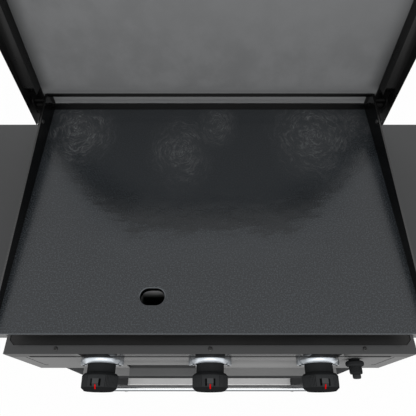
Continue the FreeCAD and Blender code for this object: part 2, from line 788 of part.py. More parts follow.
def control_panel():
    half = PANEL_HALF
    rear = PANEL_FACE + PANEL_CHEEK
    outer = box(-half, half, PANEL_FACE, rear, PANEL_BOTTOM, PANEL_TOP)
    inner = box(
        -half + PANEL_SHEET,
        half - PANEL_SHEET,
        PANEL_BACK,
        rear,
        PANEL_BOTTOM + PANEL_SHEET,
        PANEL_TOP - PANEL_SHEET,
    )
    panel = outer.cut(inner)
    lip = box(
        -half + PANEL_SHEET,
        half - PANEL_SHEET,
        PANEL_FACE + PANEL_RETURN,
        rear,
        PANEL_BOTTOM,
        PANEL_BOTTOM + PANEL_SHEET,
    )
    opening_half = half - FLANGE_SIDE
    edge = PANEL_FACE + FLANGE_DEPTH
    opening = prism_z(
        [
            (-opening_half + FLANGE_CORNER, edge),
            (opening_half - FLANGE_CORNER, edge),
            (opening_half, edge + FLANGE_CORNER),
            (opening_half, rear),
            (-opening_half, rear),
            (-opening_half, edge + FLANGE_CORNER),
        ],
        PANEL_TOP - PANEL_SHEET,
        PANEL_TOP,
    )
    notch = box(
        DRAIN_X - NOTCH_WIDTH / 2,
        DRAIN_X + NOTCH_WIDTH / 2,
        PANEL_FACE,
        rear,
        PANEL_BOTTOM,
        PANEL_BOTTOM + NOTCH_HEIGHT,
    )
    notch = rounded(notch, Vector(0, 1, 0), NOTCH_RADIUS, lambda m: m.z > PANEL_BOTTOM + 1)
    panel = panel.cut(lip).cut(opening).cut(notch).cut(panel_border())
    for x in BURNER_XS.values():
        panel = panel.cut(rod_y(PANEL_FACE, PANEL_BACK, x, AXIS_Z, SEAT_RADIUS + SLIDE_GAP))
    igniter_z = PANEL_TOP - IGNITER_DROP
    panel = panel.cut(rod_y(PANEL_FACE, PANEL_BACK, IGNITER_X, igniter_z, IGNITER_BARREL_RADIUS))
    for x in panel_screw_xs():
        y = PANEL_FACE + PANEL_SCREW_SETBACK
        panel = panel.cut(rod_z(PANEL_TOP - PANEL_SHEET, PANEL_TOP, x, y, SCREW_RADIUS))
    return panel


def panel_border():
    """The pressed line that frames the panel's face, open at the bottom."""
    line = []
    for grow in (0.0, BORDER_WIDTH):
        half = PANEL_HALF - BORDER_INSET + grow
        top = PANEL_TOP - BORDER_DROP + grow
        low = PANEL_BOTTOM + PANEL_RETURN - grow
        loop = box(-half, half, PANEL_FACE, PANEL_FACE + BORDER_DEPTH, low, top)
        line.append(rounded(loop, Vector(0, 1, 0), BORDER_RADIUS + grow))
    band = line[1].cut(line[0])
    below = PANEL_BOTTOM + NOTCH_HEIGHT
    return band.cut(
        box(-PANEL_HALF, PANEL_HALF, PANEL_FACE, PANEL_BACK, PANEL_BOTTOM - 1, below)
    )


def panel_screws():
    y = PANEL_FACE + PANEL_SCREW_SETBACK
    length = PANEL_SHEET + 4 * SHEET
    return group([pan_screw(x, y, PANEL_TOP, length) for x in panel_screw_xs()])


def knob_bezel(x):
    ring = BEZEL_RING_RADIUS
    outline = [
        (BEZEL_BORE, 0),
        (BEZEL_RADIUS, 0),
        (BEZEL_RADIUS, BEZEL_STEP - 1),
        (BEZEL_RADIUS - 1, BEZEL_STEP),
        (ring, BEZEL_STEP),
        (ring - 1, BEZEL_STEP + 2),
        (BEZEL_FRONT_RADIUS, BEZEL_HEIGHT),
        (BEZEL_BORE, BEZEL_HEIGHT),
    ]
    return turned_y(outline, x, PANEL_FACE, AXIS_Z)


def spring_seat(x):
    """The pushed ring under the knob; it slides with the stem but doesn't turn."""
    front = PANEL_FACE - SEAT_STANDOFF - SEAT_THICKNESS
    ring = rod_y(front, front + SEAT_THICKNESS, x, AXIS_Z, SEAT_RADIUS)
    return ring.cut(rod_y(front, front + SEAT_THICKNESS, x, AXIS_Z, STEM_RADIUS + FIT_GAP))


def stem_front():
    return PANEL_FACE - KNOB_BODY_START - STEM_DEPTH


def valve_stem(x):
    rear = VALVE_FRONT + STEM_DEPTH
    stem = rod_y(stem_front(), rear, x, AXIS_Z, STEM_RADIUS)
    return stem.cut(stem_flat(x))


def stem_flat(x):
    """The space beside the flat that keys the stem to its knob."""
    low = AXIS_Z + STEM_RADIUS - STEM_FLAT
    rear = PANEL_FACE - KNOB_NECK_START
    return box(x - STEM_RADIUS, x + STEM_RADIUS, stem_front(), rear, low, AXIS_Z + STEM_RADIUS)


def knob(x):
    start = SEAT_STANDOFF + SEAT_THICKNESS + BODY_GAP
    grip_end = KNOB_REACH - KNOB_CHAMFER
    body = turned_y(
        [
            (0, start),
            (KNOB_HUB_RADIUS, start),
            (KNOB_HUB_RADIUS, KNOB_BODY_START + KNOB_WALL),
            (KNOB_NECK_RADIUS - KNOB_WALL, KNOB_BODY_START + KNOB_WALL),
            (KNOB_NECK_RADIUS - KNOB_WALL, KNOB_NECK_START),
            (KNOB_NECK_RADIUS, KNOB_NECK_START),
            (KNOB_NECK_RADIUS, KNOB_BODY_START),
            (KNOB_BODY_RADIUS - KNOB_SHOULDER, KNOB_BODY_START),
            (KNOB_BODY_RADIUS, KNOB_BODY_START + KNOB_SHOULDER),
            (KNOB_BODY_RADIUS - KNOB_WALL / 3, grip_end),
            (KNOB_FACE_RADIUS, KNOB_REACH),
            (0, KNOB_REACH),
        ],
        x,
        PANEL_FACE,
        AXIS_Z,
    )
    keyway = rod_y(stem_front(), PANEL_FACE - start, x, AXIS_Z, STEM_RADIUS).cut(stem_flat(x))
    body = body.cut(keyway)
    return body.cut(group(knob_grooves(x))).cut(pointer_slope(x))


def knob_grooves(x):
    """Four groups of fine ribs round the grip, and the two slots beside the pointer."""
    start = PANEL_FACE - KNOB_REACH + KNOB_CHAMFER
    rear = PANEL_FACE - KNOB_BODY_START - KNOB_SHOULDER
    grooves = []
    groups = [(28, 73), (107, 152), (208, 253), (287, 332)]
    for first, last in groups:
        count = int((last - first) / RIB_ANGLE) + 1
        for k in range(count):
            cut = box(
                x - RIB_WIDTH / 2,
                x + RIB_WIDTH / 2,
                start,
                rear,
                AXIS_Z + KNOB_BODY_RADIUS - RIB_DEPTH - KNOB_WALL / 3,
                AXIS_Z + KNOB_BODY_RADIUS,
            )
            cut.rotate(Vector(x, 0, AXIS_Z), Vector(0, 1, 0), first + k * RIB_ANGLE)
            grooves.append(cut)
    for side in (-1, 1):
        middle = x + side * (POINTER_WIDTH + POINTER_SLOT) / 2
        grooves.append(
            box(
                middle - POINTER_SLOT / 2,
                middle + POINTER_SLOT / 2,
                start,
                start + POINTER_LENGTH,
                AXIS_Z + KNOB_BODY_RADIUS - POINTER_DEPTH,
                AXIS_Z + KNOB_BODY_RADIUS,
            )
        )
    return grooves


def pointer_slope(x):
    """The wedge cut off in front of the pointer, where its red line lies."""
    tip = PANEL_FACE - KNOB_REACH
    low = AXIS_Z + KNOB_FACE_RADIUS - POINTER_SINK
    high = AXIS_Z + KNOB_BODY_RADIUS
    rise = (high - low) / POINTER_SLOPE
    outline = [(tip - 1, low - rise), (tip + POINTER_SLOPE + 1, high + rise), (tip - 1, high + rise)]
    half = (POINTER_WIDTH + POINTER_SLOT) / 2
    return prism_x(outline, x - half, x + half)


def igniter_reach():
    return IGNITER_BARREL_LENGTH + IGNITER_COLLAR_LENGTH + IGNITER_SLEEVE_LENGTH


def igniter_body():
    z = PANEL_TOP - IGNITER_DROP
    collar_end = IGNITER_BARREL_LENGTH + IGNITER_COLLAR_LENGTH
    edge = IGNITER_COLLAR_LENGTH / 4
    outline = [
        (0, -PANEL_SHEET - IGNITER_TAIL),
        (IGNITER_BARREL_RADIUS, -PANEL_SHEET - IGNITER_TAIL),
        (IGNITER_BARREL_RADIUS, IGNITER_BARREL_LENGTH),
        (IGNITER_COLLAR_RADIUS - edge, IGNITER_BARREL_LENGTH),
        (IGNITER_COLLAR_RADIUS, IGNITER_BARREL_LENGTH + edge),
        (IGNITER_COLLAR_RADIUS, collar_end - edge),
        (IGNITER_COLLAR_RADIUS - edge, collar_end),
        (IGNITER_SLEEVE_RADIUS, collar_end),
        (IGNITER_SLEEVE_RADIUS, igniter_reach()),
        (0, igniter_reach()),
    ]
    body = turned_y(outline, IGNITER_X, PANEL_FACE, z)
    front = PANEL_FACE - igniter_reach()
    rear = front + IGNITER_BUTTON_BURIED + IGNITER_TRAVEL + SLIDE_GAP
    return body.cut(rod_y(front, rear, IGNITER_X, z, IGNITER_BUTTON_RADIUS + FIT_GAP))


def igniter_button():
    z = PANEL_TOP - IGNITER_DROP
    front = PANEL_FACE - igniter_reach()
    button = rod_y(
        front - IGNITER_BUTTON_REACH, front + IGNITER_BUTTON_BURIED, IGNITER_X, z, IGNITER_BUTTON_RADIUS
    )
    tip = [edge for edge in button.Edges if edge.CenterOfMass.y < front - IGNITER_BUTTON_REACH + 0.1]
    return button.makeFillet(IGNITER_BUTTON_REACH / 6, tip)


def igniter_nut():
    z = PANEL_TOP - IGNITER_DROP
    end = PANEL_BACK + IGNITER_NUT_LENGTH
    ring = rod_y(PANEL_BACK, end, IGNITER_X, z, IGNITER_NUT_RADIUS)
    return ring.cut(rod_y(PANEL_BACK, end, IGNITER_X, z, IGNITER_BARREL_RADIUS))


def igniter_module():
    z = PANEL_TOP - IGNITER_DROP
    front = PANEL_BACK + IGNITER_TAIL
    half = MODULE_SIZE / 2
    case = box(
        IGNITER_X - half, IGNITER_X + half, front, front + MODULE_SIZE, z - half, z + half
    )
    return rounded(case, Vector(0, 1, 0), half / 4)


def electrodes():
    """One ceramic spark rod with its wire tip beside each burner."""
    start = FIREBOX_FRONT - ELECTRODE_LENGTH / 3
    end = start + ELECTRODE_LENGTH
    z = AXIS_Z + ELECTRODE_RISE
    rods = []
    for x in BURNER_XS.values():
        ceramic = rod_y(start, end, x + ELECTRODE_SIDESTEP, z, ELECTRODE_RADIUS)
        wire = rod_y(end, end + WIRE_LENGTH, x + ELECTRODE_SIDESTEP, z, WIRE_RADIUS)
        rods.append(join(ceramic, wire))
    return group(rods)


def cart_leg(side, y):
    return screw_holes(square_tube_z(side * LEG_X, y, CASTER_HEIGHT, CART_TOP))


def hollow_bar(low, high, axis):
    """A rectangular tube between two corners, open at its ends along the axis."""
    shape = box(low.x, high.x, low.y, high.y, low.z, high.z)
    wall = Vector(RAIL_WALL, RAIL_WALL, RAIL_WALL)
    inner_low = low + wall
    inner_high = high - wall
    setattr(inner_low, axis, getattr(low, axis))
    setattr(inner_high, axis, getattr(high, axis))
    inner = box(
        inner_low.x, inner_high.x, inner_low.y, inner_high.y, inner_low.z, inner_high.z
    )
    return shape.cut(inner)


def front_rail():
    low = Vector(-LEG_INNER, RAIL_FACE, CART_TOP - RAIL_HEIGHT)
    high = Vector(LEG_INNER, RAIL_FACE + RAIL_DEPTH, CART_TOP)
    return hollow_bar(low, high, "x")


def rear_rail():
    rear = LEG_REAR_Y + LEG_DEPTH / 2
    low = Vector(-LEG_INNER, rear - LEG_DEPTH, CART_TOP - SIDE_RAIL_HEIGHT)
    high = Vector(LEG_INNER, rear, CART_TOP)
    return hollow_bar(low, high, "x")


def side_rail(side):
    front = LEG_FRONT_Y + LEG_DEPTH / 2
    rear = LEG_REAR_Y - LEG_DEPTH / 2
    half = SIDE_RAIL_WIDTH / 2
    low = Vector(side * LEG_X - half, front, CART_TOP - SIDE_RAIL_HEIGHT)
    high = Vector(side * LEG_X + half, rear, CART_TOP)
    return hollow_bar(low, high, "y")


def bottom_shelf():
    half = LEG_INNER - BODY_GAP
    front = PANEL_FACE + BOTTOM_SHELF_SETBACK
    rear = FIREBOX_REAR - BOTTOM_SHELF_SETBACK
    low = BOTTOM_SHELF_HEIGHT - BOTTOM_SHELF_LIP
    outer = box(-half, half, front, rear, low, BOTTOM_SHELF_HEIGHT)
    outer = outer.makeFillet(
        2 * BOTTOM_SHELF_SHEET,
        [edge for edge in outer.Edges if edge.CenterOfMass.z > BOTTOM_SHELF_HEIGHT - 0.01],
    )
    sheet = BOTTOM_SHELF_SHEET
    inner = box(
        -half + sheet,
        half - sheet,
        front + sheet,
        rear - sheet,
        low,
        BOTTOM_SHELF_HEIGHT - sheet,
    )
    return outer.cut(inner)


def cart_screws():
    """Screws through the legs into the bottom shelf's turned-down sides."""
    z = BOTTOM_SHELF_HEIGHT - BOTTOM_SHELF_LIP / 2
    face = LEG_X + LEG_WIDTH / 2
    inside = LEG_INNER - BODY_GAP - 4 * BOTTOM_SHELF_SHEET
    screws = []
    for y in (LEG_FRONT_Y, LEG_REAR_Y):
        head = rod_x(face, face + SCREW_HEAD_HEIGHT, y, z, SCREW_HEAD_RADIUS)
        shank = rod_x(inside, face, y, z, SCREW_RADIUS)
        screws.append(join(head, shank))
        screws.append(mirror_x(screws[-1]))
    return group(screws)


def screw_holes(shape):
    """Leaves room in a leg or shelf for the screws that pass through it."""
    z = BOTTOM_SHELF_HEIGHT - BOTTOM_SHELF_LIP / 2
    reach = LEG_X + LEG_WIDTH / 2
    for y in (LEG_FRONT_Y, LEG_REAR_Y):
        shape = shape.cut(rod_x(-reach, reach, y, z, SCREW_RADIUS))
    return shape


def bent_bar(half, face, z, reach):
    """A round bar along X whose two ends bend back square to the face behind it."""
    r = BAR_BEND
    front = face - reach
    turn = r * math.sin(math.radians(45))
    path = []
    for side in (-1, 1):
        corner = Vector(side * half, front + r, z)
        inner = Vector(side * (half - r), front, z)
        middle = Vector(side * (half - r + turn), front + r - turn, z)
        path.append((Vector(side * half, face, z), corner, middle, inner))
    left, right = path
    edges = [
        Part.LineSegment(left[0], left[1]).toShape(),
        Part.Arc(left[1], left[2], left[3]).toShape(),
        Part.LineSegment(left[3], right[3]).toShape(),
        Part.Arc(right[3], right[2], right[1]).toShape(),
        Part.LineSegment(right[1], right[0]).toShape(),
    ]
    section = Part.Wire(Part.makeCircle(BAR_RADIUS, left[0], Vector(0, 1, 0)))
    return Part.Wire(edges).makePipeShell([section], True, True)


def towel_bar():
    z = CART_TOP - BAR_DROP
    half = BAR_SPREAD / 2
    bar = bent_bar(half, RAIL_FACE, z, BAR_REACH)
    flanges = [
        rod_y(RAIL_FACE - BAR_FLANGE_THICKNESS, RAIL_FACE, side * half, z, BAR_FLANGE_RADIUS)
        for side in (-1, 1)
    ]
    return join(bar, *flanges)


def side_shelf_edges():
    inner = PLATE_OUTER + SIDE_SHELF_GAP
    return inner, inner + SIDE_SHELF_WIDTH


def side_shelf():
    inner, outer = side_shelf_edges()
    low = PANEL_TOP - SIDE_SHELF_LIP
    front = PLATE_FRONT + SIDE_SHELF_SETBACK
    block = box(inner, outer, front, PLATE_BACK, low, PANEL_TOP)
    block = rounded(block, Vector(0, 0, 1), SIDE_SHELF_CORNER, lambda m: m.x > inner + 1)
    block = block.makeFillet(
        SIDE_SHELF_BEND, [e for e in block.Edges if e.CenterOfMass.z > PANEL_TOP - 0.01]
    )
    under = [face for face in block.Faces if face.CenterOfMass.z < low + 0.01]
    return block.makeThickness(under, -SIDE_SHELF_SHEET, 1e-3)


def shelf_arms():
    """Square tubes from the firebox sides that carry the side shelves."""
    top = PANEL_TOP - SIDE_SHELF_SHEET
    arms = []
    for y in (-ARM_SPREAD / 2, ARM_SPREAD / 2):
        low = Vector(FIREBOX_HALF, y - ARM_SIZE / 2, top - ARM_SIZE)
        high = Vector(FIREBOX_HALF + ARM_LENGTH, y + ARM_SIZE / 2, top)
        arms.append(hollow_bar(low, high, "x"))
    return arms


def arm_passage(shelf):
    """Cuts the shelf's inner lip away where its arms pass."""
    inner, _ = side_shelf_edges()
    for y in (-ARM_SPREAD / 2, ARM_SPREAD / 2):
        shelf = shelf.cut(
            box(
                inner - 1,
                inner + 2 * SIDE_SHELF_SHEET,
                y - ARM_SIZE / 2,
                y + ARM_SIZE / 2,
                PANEL_TOP - SIDE_SHELF_LIP - 1,
                PANEL_TOP - SIDE_SHELF_SHEET,
            )
        )
    return shelf


def lid_ceiling(y):
    return PIVOT_Z + LID_CEILING_RISE + (PIVOT_Y - y) * math.tan(math.radians(LID_TAPER))


def lid_hood():
    """The lid's folded hood, closed: a roof that rises forward, two sides and a front."""
    half = LID_HALF + LID_SHEET
    front = LID_FRONT - LID_SHEET
    rise = LID_SHEET / math.cos(math.radians(LID_TAPER))
    block = prism_x(
        [
            (front, RIM_Z),
            (LID_REAR, RIM_Z),
            (LID_REAR, lid_ceiling(LID_REAR) + rise),
            (front, lid_ceiling(front) + rise),
        ],
        -half,
        half,
    )

    def outside(middle):
        above_rim = middle.z > RIM_Z + 1
        return above_rim and middle.y < LID_REAR - 1

    block = block.makeFillet(LID_CORNER, [e for e in block.Edges if outside(e.CenterOfMass)])
    open_faces = [
        face
        for face in block.Faces
        if face.CenterOfMass.z < RIM_Z + 0.01 or face.CenterOfMass.y > LID_REAR - 0.01
    ]
    return block.makeThickness(open_faces, -LID_SHEET, 1e-3)


def lid_stiffener():
    """The folded angle along the lid's side, hung from the roof, with its brim outward."""
    front = LID_FRONT + LID_CORNER
    wall_end = PIVOT_Y - STIFFENER_WALL_END
    brim_end = PIVOT_Y - STIFFENER_BRIM_END
    wall = [
        (front, lid_ceiling(front)),
        (wall_end, lid_ceiling(wall_end)),
        (wall_end, lid_ceiling(wall_end) - STIFFENER_DEPTH),
        (front, lid_ceiling(front) - STIFFENER_DEPTH),
    ]
    brim = [
        (front, lid_ceiling(front) - STIFFENER_DEPTH),
        (brim_end, lid_ceiling(brim_end) - STIFFENER_DEPTH),
        (brim_end, lid_ceiling(brim_end) - STIFFENER_DEPTH + LID_SHEET),
        (front, lid_ceiling(front) - STIFFENER_DEPTH + LID_SHEET),
    ]
    return join(
        prism_x(wall, STIFFENER_HALF, STIFFENER_HALF + LID_SHEET),
        prism_x(brim, STIFFENER_HALF, LID_HALF),
    )


def opened(shape):
    shape = shape.copy()
    shape.rotate(Vector(0, PIVOT_Y, PIVOT_Z), Vector(1, 0, 0), -LID_OPEN_ANGLE)
    return shape


def lid_shell():
    stiffener = lid_stiffener()
    return opened(join(lid_hood(), stiffener, mirror_x(stiffener)))


def stop_slot(x0, x1):
    """The curved slot in the lid's hub that the fixed stop stud runs along."""
    def at(radius, degrees):
        a = math.radians(degrees)
        return Vector(x0, PIVOT_Y + radius * math.cos(a), PIVOT_Z + radius * math.sin(a))

    first = STOP_ANGLE
    last = STOP_ANGLE + LID_OPEN_ANGLE
    middle = (first + last) / 2
    half = STOP_RADIUS + BODY_GAP
    inner = STOP_ORBIT - half
    outer = STOP_ORBIT + half
    turn = math.degrees(half / STOP_ORBIT)
    edges = [
        Part.Arc(at(outer, first), at(outer, middle), at(outer, last)).toShape(),
        Part.Arc(at(outer, last), at(STOP_ORBIT, last + turn), at(inner, last)).toShape(),
        Part.Arc(at(inner, last), at(inner, middle), at(inner, first)).toShape(),
        Part.Arc(at(inner, first), at(STOP_ORBIT, first - turn), at(outer, first)).toShape(),
    ]
    return Part.Face(Part.Wire(edges)).extrude(Vector(x1 - x0, 0, 0))


def lid_hub():
    """The angle inside the lid's side, with the pin's hole and the stop slot in its cheek."""
    outer = HUB_INNER + HUB_THICKNESS
    front = PIVOT_Y - HUB_RADIUS
    rear = PIVOT_Y + HUB_RADIUS
    top = PIVOT_Z + HUB_RADIUS
    cheek = box(HUB_INNER, outer, front, rear, RIM_Z, top)
    cheek = rounded(cheek, Vector(1, 0, 0), HUB_RADIUS / 3, lambda m: m.z < PIVOT_Z)
    foot = box(HUB_INNER, LID_HALF, front, rear, top - HUB_THICKNESS, top)
    bore = rod_x(HUB_INNER, outer, PIVOT_Y, PIVOT_Z, PIN_RADIUS + FIT_GAP)
    return opened(join(cheek, foot).cut(bore).cut(stop_slot(HUB_INNER, outer)))


def hinge_bracket():
    """The fixed plate outside the griddle wall, with the stud that stops the lid."""
    outer = PLATE_OUTER + BRACKET_THICKNESS
    rear = PLATE_BACK
    front = rear - BRACKET_LENGTH
    slope = (WALL_REAR_HEIGHT - WALL_FRONT_HEIGHT) / PLATE_DEPTH
    low = SURFACE_HEIGHT - BRACKET_SINK
    high = SURFACE_HEIGHT + WALL_REAR_HEIGHT - BRACKET_TRIM
    plate = prism_x(
        [(front, low), (rear, low), (rear, high), (front, high - BRACKET_LENGTH * slope)],
        PLATE_OUTER,
        outer,
    )
    angle = math.radians(STOP_ANGLE)
    stud = rod_x(
        outer,
        HUB_INNER + 2 * HUB_THICKNESS / 3,
        PIVOT_Y + STOP_ORBIT * math.cos(angle),
        PIVOT_Z + STOP_ORBIT * math.sin(angle),
        STOP_RADIUS,
    )
    bracket = join(plate, stud)
    bracket = bracket.cut(rod_x(PLATE_OUTER, outer, PIVOT_Y, PIVOT_Z, PIN_TAIL_RADIUS))
    y, z = wall_screw_place()
    return bracket.cut(rod_x(PLATE_OUTER, outer, y, z, SCREW_RADIUS))


def hinge_pin():
    """The pin riveted in the griddle wall, with a collar up to the lid's hub and a head."""
    outer = PLATE_OUTER + BRACKET_THICKNESS
    collar_end = HUB_INNER - BODY_GAP
    head_start = HUB_INNER + HUB_THICKNESS + BODY_GAP
    rivet = rod_x(
        PLATE_HALF - SCREW_HEAD_HEIGHT, PLATE_HALF, PIVOT_Y, PIVOT_Z, SCREW_HEAD_RADIUS
    )
    tail = rod_x(PLATE_HALF, outer, PIVOT_Y, PIVOT_Z, PIN_TAIL_RADIUS)
    collar = rod_x(outer, collar_end, PIVOT_Y, PIVOT_Z, PIN_COLLAR_RADIUS)
    shank = rod_x(collar_end, head_start, PIVOT_Y, PIVOT_Z, PIN_RADIUS)
    head = rod_x(head_start, head_start + PIN_HEAD_LENGTH, PIVOT_Y, PIVOT_Z, PIN_HEAD_RADIUS)
    return join(rivet, tail, collar, shank, head)


def wall_screws():
    """Screws from inside the griddle walls that hold the hinge brackets."""
    outer = PLATE_OUTER + BRACKET_THICKNESS
    y, z = wall_screw_place()
    head = rod_x(PLATE_HALF - SCREW_HEAD_HEIGHT, PLATE_HALF, y, z, SCREW_HEAD_RADIUS)
    shank = rod_x(PLATE_HALF, outer, y, z, SCREW_RADIUS)
    nut = rod_x(outer, outer + SCREW_HEAD_HEIGHT, y, z, SCREW_HEAD_RADIUS - 0.5)
    screw = join(head, shank, nut)
    return group([screw, mirror_x(screw)])


def handle_places():
    y = LID_FRONT - LID_SHEET - HANDLE_STANDOFF
    return y, RIM_Z + HANDLE_RISE


def lid_handle():
    y, z = handle_places()
    end = HANDLE_SPREAD / 2 - POST_WIDTH + POST_BORE
    tube = rod_x(-end, end, y, z, HANDLE_RADIUS)
    return opened(tube.cut(rod_x(-end, end, y, z, HANDLE_RADIUS - HANDLE_WALL)))


def handle_post():
    y, z = handle_places()
    outer = HANDLE_SPREAD / 2
    inner = outer - POST_WIDTH
    half = POST_HEIGHT / 2
    block = box(inner, outer, y, LID_FRONT - LID_SHEET, z - half, z + half)
    post = join(block, rod_x(inner, outer, y, z, half))
    post = post.cut(rod_x(inner, inner + POST_BORE, y, z, HANDLE_RADIUS))
    return opened(post)


def caster_places():
    return {
        "front_left": (-LEG_X, LEG_FRONT_Y),
        "front_right": (LEG_X, LEG_FRONT_Y),
        "rear_left": (-LEG_X, LEG_REAR_Y),
        "rear_right": (LEG_X, LEG_REAR_Y),
    }


def crown_top():
    return CASTER_HEIGHT - CASTER_PLATE - RACE_HEIGHT - BODY_GAP


def caster_socket(x, y):
    """The plug in the leg's end, with its cover plate, bearing race and kingpin."""
    width = LEG_WIDTH / 2 - LEG_WALL
    depth = LEG_DEPTH / 2 - LEG_WALL
    plug = box(
        x - width, x + width, y - depth, y + depth, CASTER_HEIGHT, CASTER_HEIGHT + PLUG_LENGTH
    )
    plug = rounded(plug, Vector(0, 0, 1), LEG_CORNER - LEG_WALL)
    plate_low = CASTER_HEIGHT - CASTER_PLATE
    plate = box(
        x - LEG_WIDTH / 2,
        x + LEG_WIDTH / 2,
        y - LEG_DEPTH / 2,
        y + LEG_DEPTH / 2,
        plate_low,
        CASTER_HEIGHT,
    )
    plate = rounded(plate, Vector(0, 0, 1), LEG_CORNER)
    race = rod_z(plate_low - RACE_HEIGHT, plate_low, x, y, RACE_RADIUS)
    head_top = crown_top() - CROWN_HEIGHT - BODY_GAP
    pin = rod_z(head_top, plate_low, x, y, KINGPIN_RADIUS)
    head = rod_z(head_top - KINGPIN_HEAD, head_top, x, y, KINGPIN_HEAD_RADIUS)
    return join(plug, plate, race, pin, head)


def fork_half():
    return WHEEL_WIDTH / 2 + FORK_GAP


def caster_fork(x, y):
    """The swivelling fork with its riveted axle; the wheel trails behind the kingpin."""
    top = crown_top()
    low = top - CROWN_HEIGHT
    inner = fork_half()
    outer = inner + FORK_SHEET
    wheel_y = y + CASTER_TRAIL
    crown = rod_z(low, top, x, y, CROWN_RADIUS)
    bridge = box(x - outer, x + outer, y, y + CASTER_TRAIL / 2, low, top)
    cheek = prism_x(
        [
            (y - CROWN_RADIUS / 2, top),
            (y - CROWN_RADIUS / 2, low - CROWN_HEIGHT),
            (wheel_y - 2 * AXLE_RADIUS, WHEEL_RADIUS - 2 * AXLE_RADIUS),
            (wheel_y + 2 * AXLE_RADIUS, WHEEL_RADIUS - 2 * AXLE_RADIUS),
            (wheel_y + 2 * AXLE_RADIUS, WHEEL_RADIUS + 3 * AXLE_RADIUS),
            (y + CROWN_RADIUS, top),
        ],
        x + inner,
        x + outer,
    )
    twin = cheek.mirror(Vector(x, 0, 0), Vector(1, 0, 0))
    axle = rod_x(x - outer, x + outer, wheel_y, WHEEL_RADIUS, AXLE_RADIUS)
    rivet = AXLE_RADIUS + 2
    heads = [
        rod_x(x - outer - 2, x - outer, wheel_y, WHEEL_RADIUS, rivet),
        rod_x(x + outer, x + outer + 2, wheel_y, WHEEL_RADIUS, rivet),
    ]
    bore = rod_z(low, top, x, y, KINGPIN_RADIUS + FIT_GAP)
    fork = join(crown, bridge, cheek, twin, axle, *heads).cut(bore)
    return join(fork, brake_pin(x, y)) if y < 0 else fork


def caster_wheel(x, y):
    """A tyre on a dished hub, as one moulded wheel."""
    wheel_y = y + CASTER_TRAIL
    half = WHEEL_WIDTH / 2
    edge = WHEEL_EDGE
    hub = WHEEL_RADIUS * 0.62
    boss = AXLE_RADIUS * 2
    outline = [
        (AXLE_RADIUS + FIT_GAP, -half),
        (boss, -half),
        (boss + 1, -half + edge),
        (hub - 1, -half + edge),
        (hub, -half),
        (WHEEL_RADIUS - edge, -half),
        (WHEEL_RADIUS, -half + edge),
        (WHEEL_RADIUS, half - edge),
        (WHEEL_RADIUS - edge, half),
        (hub, half),
        (hub - 1, half - edge),
        (boss + 1, half - edge),
        (boss, half),
        (AXLE_RADIUS + FIT_GAP, half),
    ]
    points = [Vector(x + across, wheel_y, WHEEL_RADIUS + radius) for radius, across in outline]
    face = Part.Face(Part.makePolygon(points + [points[0]]))
    return face.revolve(Vector(x, wheel_y, WHEEL_RADIUS), Vector(1, 0, 0), 360)


def brake_pin(x, y):
    """The pin through the fork's cheeks that the brake pedal turns on."""
    outer = fork_half() + FORK_SHEET
    return rod_x(x - outer, x + outer, y + BRAKE_BACKSET, BRAKE_HEIGHT, BRAKE_PIN_RADIUS)


def brake_lever(x, y):
    """The foot pedal over the wheel; pressed down, its plate comes close to the tyre."""
    y0 = y + BRAKE_BACKSET
    half = fork_half() - BODY_GAP
    eye = rod_x(x - half, x + half, y0, BRAKE_HEIGHT, BRAKE_PIN_RADIUS + BRAKE_SHEET)
    low = BRAKE_HEIGHT - BRAKE_SHEET / 2
    plate = box(x - half, x + half, y0, y0 + BRAKE_LENGTH, low, BRAKE_HEIGHT + BRAKE_SHEET)
    wide = fork_half() + FORK_SHEET
    pad = box(
        x - wide,
        x + wide,
        y0 + BRAKE_LENGTH - BRAKE_PAD,
        y0 + BRAKE_LENGTH,
        low,
        BRAKE_HEIGHT + 2 * BRAKE_SHEET,
    )
    pad = rounded(pad, Vector(0, 0, 1), BRAKE_SHEET)
    bore = rod_x(x - half, x + half, y0, BRAKE_HEIGHT, BRAKE_PIN_RADIUS + FIT_GAP)
    lever = join(eye, plate, pad).cut(bore)
    lever.rotate(Vector(x, y0, BRAKE_HEIGHT), Vector(1, 0, 0), -BRAKE_REST_ANGLE)
    return lever


